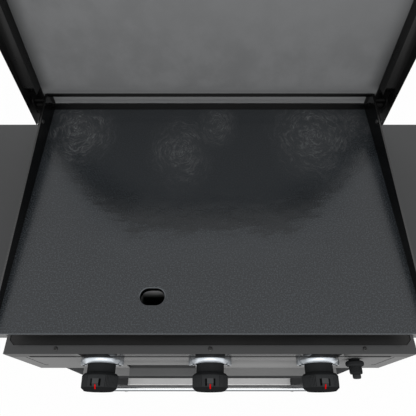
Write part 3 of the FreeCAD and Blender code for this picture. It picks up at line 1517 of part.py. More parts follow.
def all_pieces():
    pieces = {
        "griddle_plate": griddle_plate(),
        "griddle_feet": griddle_feet(),
        "grease_chute": grease_chute(),
        "grease_tray": grease_tray(),
        "tray_runners": tray_runners(),
        "firebox_shell": firebox_shell(),
        "heat_shield": heat_shield(),
        "crossover_channel": crossover_channel(),
        "gas_manifold": gas_manifold(),
        "manifold_brackets": group([manifold_bracket(-1), manifold_bracket(1)]),
        "gas_inlet": gas_inlet(),
        "gas_valves": group([gas_valve(x) for x in BURNER_XS.values()]),
        "control_panel": control_panel(),
        "panel_screws": panel_screws(),
        "knob_bezels": group([knob_bezel(x) for x in BURNER_XS.values()]),
        "igniter_body": igniter_body(),
        "igniter_nut": igniter_nut(),
        "igniter_button": igniter_button(),
        "igniter_module": igniter_module(),
        "electrodes": electrodes(),
        "front_rail": front_rail(),
        "frame_rails": group([rear_rail(), side_rail(-1), side_rail(1)]),
        "front_legs": group([cart_leg(-1, LEG_FRONT_Y), cart_leg(1, LEG_FRONT_Y)]),
        "rear_legs": group([cart_leg(-1, LEG_REAR_Y), cart_leg(1, LEG_REAR_Y)]),
        "bottom_shelf": screw_holes(bottom_shelf()),
        "cart_screws": cart_screws(),
        "towel_bar": towel_bar(),
        "lid_shell": lid_shell(),
        "lid_hubs": group([lid_hub(), mirror_x(lid_hub())]),
        "hinge_brackets": group([hinge_bracket(), mirror_x(hinge_bracket())]),
        "hinge_pins": group([hinge_pin(), mirror_x(hinge_pin())]),
        "wall_screws": wall_screws(),
        "lid_handle": lid_handle(),
        "handle_posts": group([handle_post(), mirror_x(handle_post())]),
    }
    for name, x in BURNER_XS.items():
        pieces["burner_" + name] = burner(x)
        pieces["spring_seat_" + name] = spring_seat(x)
        pieces["valve_stem_" + name] = valve_stem(x)
        pieces["knob_" + name] = knob(x)
    arms = shelf_arms()
    shelf = arm_passage(side_shelf())
    pieces["side_shelf_right"] = shelf
    pieces["side_shelf_left"] = mirror_x(shelf)
    pieces["shelf_arms"] = group(arms + [mirror_x(arm) for arm in arms])
    sockets = []
    for name, (x, y) in caster_places().items():
        pieces["caster_fork_" + name] = caster_fork(x, y)
        pieces["caster_wheel_" + name] = caster_wheel(x, y)
        if y < 0:
            pieces["brake_lever_" + name] = brake_lever(x, y)
        sockets.append(caster_socket(x, y))
    pieces["caster_sockets"] = group(sockets)
    return pieces


def main():
    os.makedirs("parts", exist_ok=True)
    pieces = all_pieces()
    front = min(shape.BoundBox.YMin for shape in pieces.values())
    rear = max(shape.BoundBox.YMax for shape in pieces.values())
    shift = Vector(0, -(front + rear) / 2, 0)
    print("shift along Y", round(shift.y, 4), "pieces", len(pieces))
    for name, shape in pieces.items():
        shape = shape.copy()
        shape.translate(shift)
        shape.exportStep("parts/" + name + ".step")
        if not shape.isValid() or shape.Volume <= 0:
            print("check", name, shape.isValid(), shape.Volume)


main()
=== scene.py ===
import math

import bmesh
import bpy
from mathutils import Matrix, Vector


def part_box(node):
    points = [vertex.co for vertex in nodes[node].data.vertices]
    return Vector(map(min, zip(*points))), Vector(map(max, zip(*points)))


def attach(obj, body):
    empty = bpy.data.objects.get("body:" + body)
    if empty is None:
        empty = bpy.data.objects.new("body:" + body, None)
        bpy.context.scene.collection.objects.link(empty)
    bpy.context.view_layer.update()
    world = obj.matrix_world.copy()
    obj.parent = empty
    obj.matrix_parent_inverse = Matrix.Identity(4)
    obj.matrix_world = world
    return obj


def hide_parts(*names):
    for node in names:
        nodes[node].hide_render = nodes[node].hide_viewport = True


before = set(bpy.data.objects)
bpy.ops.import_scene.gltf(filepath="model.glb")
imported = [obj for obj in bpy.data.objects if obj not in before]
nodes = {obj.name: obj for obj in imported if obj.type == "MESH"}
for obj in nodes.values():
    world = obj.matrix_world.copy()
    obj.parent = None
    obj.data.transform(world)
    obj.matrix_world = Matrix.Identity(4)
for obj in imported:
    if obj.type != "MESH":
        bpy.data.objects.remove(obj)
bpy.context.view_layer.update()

scene = bpy.context.scene


# The room: a pale floor under a plain white surround, a large soft lamp from the front
# and a weaker one from behind. Colours show about as they are written.
class Pattern:
    """A socket of a shader tree. Sums and products of patterns become Math nodes."""

    def __init__(self, tree, socket=None):
        self.tree = tree
        self.socket = socket

    def node(self, kind, settings, sockets, output=0):
        """Any node, from its type, its settings and its sockets' values or links."""
        made = self.tree.nodes.new(kind)
        for name, value in settings.items():
            setattr(made, name, value)
        for name, value in sockets.items():
            if isinstance(value, Pattern):
                self.tree.links.new(value.socket, made.inputs[name])
            else:
                made.inputs[name].default_value = value
        return Pattern(self.tree, made.outputs[output] if made.outputs else None)

    def maths(self, operation, *others):
        """Any sum on a number, with the numbers that come after it."""
        sockets = dict(enumerate((self, *others)))
        return self.node("ShaderNodeMath", {"operation": operation}, sockets)

    def vectors(self, operation, *others, output="Vector"):
        """Any sum on a vector, with the vectors that come after it."""
        sockets = dict(enumerate((self, *others)))
        return self.node("ShaderNodeVectorMath", {"operation": operation}, sockets, output)

    def __add__(self, other):
        return self.maths("ADD", other)

    def __sub__(self, other):
        return self.maths("SUBTRACT", other)

    def __rsub__(self, other):
        return self.maths("MULTIPLY", -1.0) + other

    def __mul__(self, other):
        return self.maths("MULTIPLY", other)

    __radd__ = __add__
    __rmul__ = __mul__

    def larger(self, other):
        """The larger of two numbers, which for two masks covers both their places."""
        return self.maths("MAXIMUM", other)

    def size(self):
        """A number without its sign."""
        return self.maths("ABSOLUTE")

    def mix(self, low, high):
        """The colour low where the pattern is 0 and high where it is 1."""
        settings = {"data_type": "RGBA"}
        return self.node("ShaderNodeMix", settings, {0: self, 6: low, 7: high}, 2)

    def step(self, low, high):
        """Turns smoothly from 0 at the value low to 1 at the value high."""
        settings = {"interpolation_type": "SMOOTHSTEP"}
        sockets = {"Value": self, "From Min": low, "From Max": high}
        return self.node("ShaderNodeMapRange", settings, sockets)

    def noise(self, scale, detail=2.0, roughness=0.5, distortion=0.0):
        """Cloudy variation of a vector pattern; scale is in cells to the metre."""
        sockets = {
            "Vector": self,
            "Scale": scale,
            "Detail": detail,
            "Roughness": roughness,
            "Distortion": distortion,
        }
        return self.node("ShaderNodeTexNoise", {}, sockets)

    def placed(self, move=(0, 0, 0), stretch=(1, 1, 1)):
        """A vector pattern stretched and then moved by a Mapping node."""
        sockets = {"Vector": self, "Location": move, "Scale": stretch}
        return self.node("ShaderNodeMapping", {}, sockets)

    def facing(self):
        """The way the surface faces, as a vector pattern."""
        return self.node("ShaderNodeTexCoord", {}, {}, "Normal")

    def part(self, axis):
        """The X, Y or Z of a vector pattern."""
        return self.node("ShaderNodeSeparateXYZ", {}, {"Vector": self}, axis)

    def bump(self, depth):
        """A surface whose height follows the pattern, by depth in metres."""
        return self.node("ShaderNodeBump", {}, {"Height": self, "Distance": depth})


def seen_or_mirrored(tree):
    """1 for what the camera, a mirror or glass looks at, and 0 for light on its way."""
    ray = Pattern(tree).node("ShaderNodeLightPath", {}, {}, "Is Camera Ray")
    total = ray
    for name in ("Is Glossy Ray", "Is Transmission Ray"):
        total = total + Pattern(tree, ray.socket.node.outputs[name])
    return total.maths("MINIMUM", 1.0)


SKY_ON_SURFACES = 0.62
world = bpy.data.worlds.new("studio")
scene.world = world
world.use_nodes = True
sky = world.node_tree.nodes["Background"]
sky.inputs["Color"].default_value = (1, 1, 1, 1)
strength = seen_or_mirrored(world.node_tree) * (1 - SKY_ON_SURFACES) + SKY_ON_SURFACES
world.node_tree.links.new(strength.socket, sky.inputs["Strength"])

FLOOR_SIZE = 14.0
FLOOR_COLOUR = (0.86, 0.86, 0.86, 1)
FLOOR_GLOW = 0.97
floor_mesh = bmesh.new()
bmesh.ops.create_grid(floor_mesh, x_segments=1, y_segments=1, size=FLOOR_SIZE / 2)
floor_data = bpy.data.meshes.new("studio_floor")
floor_mesh.to_mesh(floor_data)
floor_mesh.free()
floor = bpy.data.objects.new("studio_floor", floor_data)
scene.collection.objects.link(floor)
floor_paint = bpy.data.materials.new("studio_floor")
floor_paint.use_nodes = True
tree = floor_paint.node_tree
tree.nodes.clear()
matt = Pattern(tree).node("ShaderNodeBsdfDiffuse", {}, {"Color": FLOOR_COLOUR})
glow = Pattern(tree).node("ShaderNodeEmission", {}, {"Color": (1, 1, 1, 1), "Strength": 1.0})
share = seen_or_mirrored(tree) * FLOOR_GLOW
shown = share.node("ShaderNodeMixShader", {}, {0: share, 1: matt, 2: glow})
shown.node("ShaderNodeOutputMaterial", {}, {"Surface": shown})
floor_data.materials.append(floor_paint)


def softbox(name, place, target, size, power):
    """A large square lamp that faces its target."""
    lamp = bpy.data.lights.new(name, "AREA")
    lamp.shape = "SQUARE"
    lamp.size = size
    lamp.energy = power
    holder = bpy.data.objects.new(name, lamp)
    holder.location = place
    holder.rotation_euler = (Vector(target) - Vector(place)).to_track_quat("-Z", "Y").to_euler()
    scene.collection.objects.link(holder)


softbox("front_softbox", place=(0, -2.6, 3.0), target=(0, 0, 0.8), size=2.4, power=46)
softbox("rear_softbox", place=(0, 2.6, 3.2), target=(0, 0, 0.9), size=2.0, power=16)

scene.view_settings.view_transform = "Standard"


# The camera stands a little ahead of the cooking plate's front edge and looks down on
# the station, 60 degrees below level. Its lens suits a picture 416 pixels wide.
FOCAL_PIXELS = 381.0
PICTURE_PIXELS = 416.0
SENSOR_WIDTH = 36.0
CAMERA_X = -0.004
CAMERA_AHEAD_OF_PLATE = 0.13265
CAMERA_HEIGHT = 1.5443
TILT_FROM_STRAIGHT_DOWN = math.radians(30)
camera = bpy.data.objects.new("photo_camera", bpy.data.cameras.new("photo_camera"))
camera.data.sensor_width = SENSOR_WIDTH
camera.data.lens = SENSOR_WIDTH * FOCAL_PIXELS / PICTURE_PIXELS
camera_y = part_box("griddle_plate")[0].y - CAMERA_AHEAD_OF_PLATE
camera.location = (CAMERA_X, camera_y, CAMERA_HEIGHT)
camera.rotation_euler = (TILT_FROM_STRAIGHT_DOWN, 0, 0)
scene.collection.objects.link(camera)
scene.camera = camera


# Casters: a plated plug and bearing in each leg, a pressed zinc fork, a nylon hub with
# five pockets under a moulded rubber tyre, and a foot pedal on the two front ones.
CORNERS = ("front_left", "front_right", "rear_left", "rear_right")
MM = 0.001
SHARP = math.radians(32)


def new_finish(name, **constants):
    """A material, its shader with some sockets set, and its Object coordinates."""
    material = bpy.data.materials.new(name)
    material.use_nodes = True
    tree = material.node_tree
    shader = tree.nodes["Principled BSDF"]
    for socket, value in constants.items():
        shader.inputs[socket.replace("_", " ")].default_value = value
    where = Pattern(tree).node("ShaderNodeTexCoord", {}, {}, "Object")
    return material, shader, where


def feed(shader, **patterns):
    """Links a pattern to each of the shader's sockets that is named."""
    for socket, pattern in patterns.items():
        pattern.tree.links.new(pattern.socket, shader.inputs[socket.replace("_", " ")])


def coat(material, *names):
    """Gives CAD nodes a finish, with their shape as it is."""
    for name in names:
        for slot in nodes[name].material_slots:
            slot.material = material


def grey(value, warmth=0.0):
    """A colour from how light it is, in scene units, with a little red or blue."""
    return (value * (1 + warmth), value, value * (1 - warmth), 1)


def turned(outline, steps):
    """Spins an outline of (radius, height) in millimetres round Z into a closed shape.

    An outline that doesn't start on the Z axis goes all round the section of a ring.
    """
    mesh = bmesh.new()
    corners = [mesh.verts.new((0, radius, height)) for radius, height in outline]
    edges = [mesh.edges.new(pair) for pair in zip(corners, corners[1:])]
    if outline[0][0] > 0:
        edges.append(mesh.edges.new((corners[-1], corners[0])))
    bmesh.ops.spin(
        mesh,
        geom=corners + edges,
        cent=(0, 0, 0),
        axis=(0, 0, 1),
        angle=2 * math.pi,
        steps=steps,
        use_merge=True,
    )
    bmesh.ops.remove_doubles(mesh, verts=mesh.verts, dist=1e-4)
    bmesh.ops.recalc_face_normals(mesh, faces=mesh.faces)
    return mesh


def soften(mesh, width, edges=None):
    """Rounds the sharp edges of a mesh, or the ones given."""
    if edges is None:
        edges = [e for e in mesh.edges if e.is_manifold and e.calc_face_angle() > SHARP]
    bmesh.ops.bevel(
        mesh,
        geom=edges,
        offset=width,
        offset_type="OFFSET",
        segments=2,
        profile=0.5,
        affect="EDGES",
        clamp_overlap=True,
        material=-1,
    )


def mirrored(outline):
    """An outline followed by its mirror image, so that both sides of a wheel match."""
    return outline + [(radius, -height) for radius, height in reversed(outline)]


def column(face, steps):
    """Which of the steps round Z a face of a turned shape lies in, counted from +Y."""
    middle = face.calc_center_median()
    return math.floor(math.atan2(middle.x, middle.y) / (2 * math.pi) * steps + 1e-6)


def radius_and_height(face):
    """How far the middle of a face lies from the Z axis, and how far along it."""
    middle = face.calc_center_median()
    return math.hypot(middle.x, middle.y), middle.z


def paint_faces(faces, finish):
    """Gives faces the finish with this number in their piece's list."""
    for face in faces:
        face.material_index = finish


def sink(mesh, faces, rim, depth):
    """Sinks faces into a mesh, leaving a rim inside the edge of each group of them."""
    bmesh.ops.inset_region(
        mesh,
        faces=faces,
        thickness=rim,
        depth=-depth,
        use_even_offset=True,
        use_boundary=True,
    )


def placed_mesh(mesh, middle, turn=Matrix.Identity(4)):
    """Scales a shape drawn in millimetres and sets it at its middle, in metres."""
    matrix = Matrix.Translation(middle) @ turn @ Matrix.Scale(MM, 4)
    bmesh.ops.transform(mesh, matrix=matrix, verts=mesh.verts)
    return mesh


def joined(meshes):
    """Several closed shapes as one mesh."""
    whole = bmesh.new()
    for mesh in meshes:
        part = bpy.data.meshes.new("part")
        mesh.to_mesh(part)
        mesh.free()
        whole.from_mesh(part)
        bpy.data.meshes.remove(part)
    return whole


def piece(name, mesh, materials, body, slot, *stands_for):
    """Makes the object, and says what it rides on and which nodes it stands for."""
    data = bpy.data.meshes.new(name)
    mesh.to_mesh(data)
    mesh.free()
    data.shade_smooth()
    data.set_sharp_from_angle(angle=SHARP)
    for material in materials:
        data.materials.append(material)
    made = bpy.data.objects.new(name, data)
    scene.collection.objects.link(made)
    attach(made, body)
    if stands_for:
        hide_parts(*stands_for)


tyre_rubber, shader, where = new_finish("tyre_rubber")
scuffs = where.noise(260, 4, 0.65)
feed(
    shader,
    Base_Color=scuffs.step(0.35, 0.75).mix(grey(0.017), grey(0.034)),
    Roughness=scuffs.step(0.3, 0.7) * 0.16 + 0.64,
    Normal=where.noise(900, 3).bump(0.00012),
)
hub_nylon, shader, where = new_finish("hub_nylon", Roughness=0.46)
feed(
    shader,
    Base_Color=where.noise(140, 3).mix(grey(0.13), grey(0.19)),
    Normal=where.noise(1500, 2).bump(0.00004),
)

WHEEL_STEPS = 60
HUB_RADIUS = 19.8
HUB_DISH = 2.2
TREAD_GROOVE = 1.3
HUB_POCKETS = 5
POCKET_FROM, POCKET_TO = 9, 17
POCKET_DEPTH = 3.2
SPOKE_COLUMNS = 2
columns_a_pocket = WHEEL_STEPS // HUB_POCKETS
along_x = Matrix.Rotation(math.radians(90), 4, "Y")
for corner in CORNERS:
    low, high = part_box("caster_wheel_" + corner)
    radius = (high.z - low.z) / 2 / MM
    half = (high.x - low.x) / 2 / MM
    tyre_side = [
        (HUB_RADIUS, -half + 0.6),
        (HUB_RADIUS + 2, -half),
        (radius - 6, -half),
        (radius - 2.4, -half + 1.2),
        (radius - 0.7, -half + 3.4),
        (radius, -3.4),
        (radius - TREAD_GROOVE, -2.9),
        (radius - TREAD_GROOVE, -1.7),
        (radius, -1.2),
    ]
    tyre = turned(mirrored(tyre_side), WHEEL_STEPS)
    hub_side = [
        (4.1, -half),
        (7.6, -half),
        (8.4, -half + HUB_DISH),
        (17.2, -half + HUB_DISH),
        (18.0, -half + 0.4),
        (HUB_RADIUS - 0.05, -half + 0.4),
    ]
    hub = turned(mirrored(hub_side), WHEEL_STEPS)
    pockets = []
    for face in hub.faces:
        on_spoke = column(face, WHEEL_STEPS) % columns_a_pocket < SPOKE_COLUMNS
        in_dish = POCKET_FROM < radius_and_height(face)[0] < POCKET_TO
        if in_dish and abs(face.normal.z) > 0.9 and not on_spoke:
            pockets.append(face)
    sink(hub, pockets, rim=0.8, depth=POCKET_DEPTH)
    soften(hub, 0.3)
    paint_faces(hub.faces, 1)
    piece(
        "wheel_" + corner,
        placed_mesh(joined([tyre, hub]), (low + high) / 2, along_x),
        [tyre_rubber, hub_nylon],
        "wheel_" + corner,
        "wheel_rubber",
        "caster_wheel_" + corner,
    )

zinc, shader, where = new_finish("zinc_plate", Metallic=1.0)
cells = where.node("ShaderNodeTexVoronoi", {}, {"Vector": where, "Scale": 160.0}, "Color")
spangle = cells.part("X")
feed(
    shader,
    Base_Color=spangle.mix(grey(0.46, 0.02), grey(0.62, -0.01)),
    Roughness=spangle * 0.14 + where.noise(40, 3) * 0.1 + 0.22,
    Normal=where.noise(700, 3).bump(0.00003),
)
coat(zinc, "caster_sockets", *("caster_fork_" + corner for corner in CORNERS))

moulded_black, shader, where = new_finish("moulded_black")
feed(
    shader,
    Base_Color=where.noise(60, 3).mix(grey(0.014, -0.04), grey(0.022, -0.04)),
    Roughness=where.noise(180, 2) * 0.16 + 0.38,
    Normal=where.noise(1400, 2).bump(0.00005),
)
coat(moulded_black, "brake_lever_front_left", "brake_lever_front_right")


# Cart: rectangular tube legs and rails, welded and powder coated in satin black. The front
# rail's upper side is painted paler, in streaks, as painted light from above.
ORANGE_PEEL = 0.00006


def powder_coat(name, dark, light, roughness, gloss=0.5, lit_top=None, shade_behind=None):
    """A sprayed and baked finish, with its fine orange peel and slight clouds.

    Upward faces can be given a paler colour, painted on in streaks as painted light from above,
    and a Y can be given behind which the coat is painted darker as painted shade.
    """
    material, shader, where = new_finish(name, Specular_IOR_Level=gloss)
    clouds = where.noise(9, 4, 0.6)
    grain = where.noise(650, 2)
    colour = (clouds * 0.65 + grain * 0.35).step(0.3, 0.7).mix(dark, light)
    # Upward faces get the paler colour in streaks: painted light from above.
    if lit_top:
        upward = where.facing().part("Z").step(0.55, 0.95)
        top_light = upward * (where.placed(stretch=(1, 6, 1)).noise(70, 4) * 0.4 + 0.8)
        colour = top_light.mix(colour, lit_top)
    if shade_behind is not None:
        # Behind that Y the coat is painted darker: painted shade.
        inside = where.part("Y").step(shade_behind - 0.0015, shade_behind + 0.0005)
        colour = (inside * 0.6).mix(colour, grey(0.005))
    feed(
        shader,
        Base_Color=colour,
        Roughness=clouds * 0.12 + grain * 0.08 + (roughness - 0.1),
        Normal=where.noise(420, 2).bump(ORANGE_PEEL),
    )
    return material


tube_black = (grey(0.05, -0.02), grey(0.062, -0.02))
frame_paint = powder_coat("frame_powder_coat", *tube_black, 0.6, gloss=0.0)
coat(frame_paint, "frame_rails", "front_legs", "rear_legs")
rail_paint = powder_coat("rail_powder_coat", *tube_black, 0.6, gloss=0.0, lit_top=grey(0.268))
coat(rail_paint, "front_rail")

black_steel, shader, where = new_finish("blackened_screws", Metallic=0.2)
feed(
    shader,
    Base_Color=where.noise(300, 3).mix(grey(0.022), grey(0.045)),
    Roughness=where.noise(500, 3) * 0.25 + 0.4,
)
HEAD_RADIUS = 4.0
HEAD_HEIGHT = 2.2


def socket_screw(place, turn):
    """A domed screw head with a round-bottomed socket, on its short shank."""
    head = turned(
        [
            (0, 0.8),
            (1.35, 0.9),
            (1.5, HEAD_HEIGHT - 0.15),
            (1.7, HEAD_HEIGHT),
            (2.6, HEAD_HEIGHT - 0.15),
            (3.5, HEAD_HEIGHT - 0.7),
            (HEAD_RADIUS, 0.35),
            (3.9, 0),
            (1.95, 0),
            (1.95, -4.0),
            (0, -4.4),
        ],
        24,
    )
    return placed_mesh(head, place, turn)


def screws(name, places, node):
    """Screws at a list of places and turns, for the CAD node that holds them all."""
    heads = [socket_screw(place, turn) for place, turn in places]
    piece(name, joined(heads), [black_steel], "root", "black_screws", node)


low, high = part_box("cart_screws")
screw_z = (low.z + high.z) / 2
places = []
for side in (-1, 1):
    outward = Matrix.Rotation(math.radians(90 * side), 4, "Y")
    for y in (low.y + HEAD_RADIUS * MM, high.y - HEAD_RADIUS * MM):
        places.append(((side * (high.x - HEAD_HEIGHT * MM), y, screw_z), outward))
screws("cart_screw_heads", places, "cart_screws")


# Bottom shelf: one steel sheet with its edges turned down, sprayed in a pale silver
# grey. The cart's four screws hold it between the legs.
coat(powder_coat("pale_powder_coat", grey(0.565), grey(0.625), 0.45), "bottom_shelf")


# Towel bar: a round steel bar with its ends bent back to flanges on the front rail, in bright
# chrome. The plating is smeared by hands, and its front is painted darker as a painted
# reflection of dark things.
chrome, shader, where = new_finish("bright_chrome")
smears = where.noise(55, 4, 0.6)
backward = where.facing().part("Y")
# Forward faces get the darker chrome: a painted reflection.
off_front = backward.step(-0.5, -0.2)
on_back = backward.step(0.1, 0.5)
bright = smears.mix(grey(0.52, -0.01), grey(0.6, -0.01))
feed(
    shader,
    Base_Color=off_front.mix(grey(0.27, -0.04), bright),
    Metallic=1 - on_back * 0.6,
    Roughness=smears.step(0.45, 0.8) * 0.1 + 0.16,
)
coat(chrome, "towel_bar")


# Firebox: a folded steel case sprayed with heat-proof black, greyed and stained round the
# burners, with the tray's runners under its floor. An enamelled heat shield closes the gap
# between its front and the control panel's top flange; its near-black enamel also stands in for
# the shade in that gap, a painted shade.
heatproof_black, shader, where = new_finish("heatproof_black")
stains = where.noise(7, 5, 0.65, 0.6)
heat = where.part("Z").step(0.7, 0.86) * stains.step(0.35, 0.7)
flecks = where.noise(120, 4, 0.7)
cool = flecks.mix(grey(0.016), grey(0.027))
heated = flecks.mix(grey(0.034, 0.08), grey(0.052, 0.1))
feed(
    shader,
    Base_Color=heat.mix(cool, heated),
    Roughness=stains * 0.2 + flecks * 0.12 + 0.38,
    Normal=where.noise(500, 3).bump(0.00005),
)
coat(heatproof_black, "firebox_shell", "tray_runners")
# The shield's near-black is partly painted shade, for the gap under the plate's front edge.
shield_enamel = powder_coat("shield_enamel", grey(0.006), grey(0.009), 0.42, gloss=0.35)
coat(shield_enamel, "heat_shield")


# Grease chute: a duct folded from bare tinned sheet, flanged to the firebox's floor under the
# plate's drain. Its colour is light at its mouth and near-black lower down.
BRIGHT_ABOVE = 0.862
BLACK_BELOW = 0.815
chute_tin, shader, where = new_finish("chute_tin", Metallic=0.1)
dark_below = where.part("Z").step(BRIGHT_ABOVE, BLACK_BELOW)
feed(
    shader,
    Base_Color=dark_below.mix(where.noise(60, 3).mix(grey(0.85), grey(0.95)), grey(0.01)),
    Roughness=where.noise(90, 3) * 0.2 + 0.3,
)
coat(chute_tin, "grease_chute")


# Burners: rolled stainless tubes with a row of flame slots, tinted straw and blue by
# the heat, the channel that carries the flame across, and the ceramic spark electrodes.
STRAW = (0.33, 0.23, 0.12, 1)
BLUE = (0.13, 0.14, 0.2, 1)
burner_steel, shader, where = new_finish("burner_steel", Metallic=1.0)
brushed = where.placed(stretch=(1, 0.05, 1)).noise(1300, 2)
tint = (where.noise(16, 3, 0.6) * 0.5 + where.part("Y").step(-0.2, 0.2) * 0.6).step(0.3, 0.8)
heat_colours = where.noise(11, 2).step(0.42, 0.6).mix(STRAW, BLUE)
feed(
    shader,
    Base_Color=tint.mix(brushed.mix(grey(0.42), grey(0.55)), heat_colours),
    Roughness=brushed * 0.2 + tint * 0.12 + 0.2,
)
coat(burner_steel, "burner_left", "burner_middle", "burner_right", "crossover_channel")

ceramic, shader, where = new_finish("spark_ceramic", Roughness=0.25, Coat_Weight=0.4)
tinge = where.noise(200, 3).step(0.4, 0.75)
feed(shader, Base_Color=tinge.mix(grey(0.7, 0.03), grey(0.55, 0.06)))
coat(ceramic, "electrodes")


# Gas line: a plated manifold pipe on two brackets, three brass valves with the stems
# that the knobs turn, and a brass inlet whose hexagon and thread take the hose.
coat(zinc, "gas_manifold")
coat(shield_enamel, "manifold_brackets")
FRESH_BRASS = (0.66, 0.45, 0.17, 1)
TARNISHED_BRASS = (0.5, 0.33, 0.13, 1)
brass, shader, where = new_finish("valve_brass", Metallic=1.0)
tarnish = where.noise(90, 4, 0.6)
feed(
    shader,
    Base_Color=tarnish.mix(FRESH_BRASS, TARNISHED_BRASS),
    Roughness=tarnish * 0.28 + 0.14,
)
coat(brass, "gas_valves", "valve_stem_left", "valve_stem_middle", "valve_stem_right")

THREAD_LENGTH = 14.0
THREAD_PITCH = 1.4
THREAD_DEPTH = 0.7
THREAD_RADIUS = 7.9
INLET_BORE = 4.0
HEX_HALF_WIDTH = 10
low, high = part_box("gas_inlet")
thread_foot = THREAD_RADIUS - THREAD_DEPTH
outline = [(INLET_BORE, 0), (THREAD_RADIUS - 1.2, 0)]
ridge = THREAD_PITCH / 2
while ridge < THREAD_LENGTH - THREAD_PITCH / 2:
    outline.append((THREAD_RADIUS, ridge))
    outline.append((thread_foot, ridge + THREAD_PITCH / 2))
    ridge += THREAD_PITCH
outline += [(thread_foot, THREAD_LENGTH + 1), (INLET_BORE, THREAD_LENGTH + 1)]
thread = turned(outline, 40)
nut_height = (high.z - low.z) / MM - THREAD_LENGTH
nut_corner = HEX_HALF_WIDTH / math.cos(math.radians(30))
nut = bmesh.new()
bmesh.ops.create_cone(
    nut, cap_ends=True, segments=6, radius1=nut_corner, radius2=nut_corner, depth=nut_height
)
bmesh.ops.translate(nut, vec=(0, 0, THREAD_LENGTH + nut_height / 2), verts=nut.verts)
flats_to_sides = Matrix.Rotation(math.radians(30), 3, "Z")
bmesh.ops.rotate(nut, cent=(0, 0, 0), matrix=flats_to_sides, verts=nut.verts)
soften(nut, 0.5)
foot = Vector(((low.x + high.x) / 2, (low.y + high.y) / 2, low.z))
inlet = placed_mesh(joined([thread, nut]), foot)
piece("gas_inlet_fitting", inlet, [brass], "root", "valve_brass", "gas_inlet")


# Control panel: one folded steel sheet with a border line pressed into it, screwed down
# through its top flange, in a glossy dark grey paint. What the paint mirrors when seen
# along the sheet, a pale room and each knob, is painted here and is no true reflection.
KNOB_PITCH = 0.203
PRESSED_LINE_DROP = 0.0295
PRESSED_LINE_HALF = 0.005
PRESSED_LINE_END = 0.3265
KNOB_IMAGE_HALF = 0.0258
KNOB_IMAGE_FOOT = 0.028
BEYOND_KNOBS = 0.222
low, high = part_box("control_panel")
panel_face = low.y
line_z = high.z - PRESSED_LINE_DROP
bezel_low, bezel_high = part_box("knob_bezels")
axis_z = (bezel_low.z + bezel_high.z) / 2
panel_gloss, shader, where = new_finish("panel_gloss")
height = where.part("Z")
from_middle = where.part("X").size()
from_knob = where.part("X").maths("PINGPONG", KNOB_PITCH / 2)

# This shows the painted reflection of the room and the knobs, and the pressed line's painted
# shade, only where the panel is seen along its face, so it is colour by the angle of view. At 0
# the plain paint is left.
slant = where.node("ShaderNodeLayerWeight", {}, {"Blend": 0.5}, "Facing")
seen_along = slant.step(0.6, 0.86)
over_knob = from_knob.step(KNOB_IMAGE_HALF + 0.001, KNOB_IMAGE_HALF)
over_knob = over_knob * (height - axis_z).step(KNOB_IMAGE_FOOT, KNOB_IMAGE_FOOT + 0.004)
knob_image = over_knob * seen_along
pressed = (height - line_z).size().step(PRESSED_LINE_HALF + 0.0006, PRESSED_LINE_HALF)
pressed = pressed * from_middle.step(PRESSED_LINE_END, PRESSED_LINE_END - 0.001)
line_image = pressed * seen_along
ends = from_middle.step(BEYOND_KNOBS, BEYOND_KNOBS + 0.028)

grain = where.noise(9, 4, 0.6) * 0.6 + where.noise(650, 2) * 0.4
satin = grain.mix(grey(0.061, -0.02), grey(0.072, -0.02))
room_between = height.step(high.z - 0.02, low.z + 0.04).mix(grey(0.02), grey(0.31))
room_at_ends = height.step(line_z, line_z - 0.006).mix(grey(0.15), grey(0.225))
paint = seen_along.mix(satin, ends.mix(room_between, room_at_ends))
paint = knob_image.larger(line_image).mix(paint, grey(0.002))
feed(
    shader,
    Base_Color=paint,
    Roughness=grain * 0.05 + 0.1,
    Normal=where.noise(420, 2).bump(0.00001),
)

# The paint is less like a mirror where something dark is mirrored.
dull = knob_image.larger(ends * seen_along).larger(line_image * 0.7)
tree = panel_gloss.node_tree
gloss = Pattern(tree, shader.outputs[0])
plain = {"Base Color": paint, "Roughness": 1.0, "Specular IOR Level": 0.0}
matt = where.node("ShaderNodeBsdfPrincipled", {}, plain)
blend = matt.node("ShaderNodeMixShader", {}, {0: dull * 0.4 + 0.55, 1: gloss, 2: matt})
tree.links.new(blend.socket, tree.nodes["Material Output"].inputs["Surface"])
coat(panel_gloss, "control_panel")

low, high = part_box("panel_screws")
middle_y = (low.y + high.y) / 2
seat = high.z - HEAD_HEIGHT * MM
screw_xs = (low.x + HEAD_RADIUS * MM, (low.x + high.x) / 2, high.x - HEAD_RADIUS * MM)
upright = Matrix.Identity(4)
places = [((x, middle_y, seat), upright) for x in screw_xs]
screws("panel_screw_heads", places, "panel_screws")


# Grease tray: a drawer folded from sheet steel, which slides on its runners behind the panel's
# notch with its lip over the front rail. It is sprayed a plain dark grey, and painted darker
# behind the panel's face as painted shade.
tray_greys = (grey(0.132, -0.01), grey(0.152, -0.01))
tray_paint = powder_coat(
    "tray_powder_coat", *tray_greys, 0.5, gloss=0.3, shade_behind=panel_face
)
coat(tray_paint, "grease_tray")


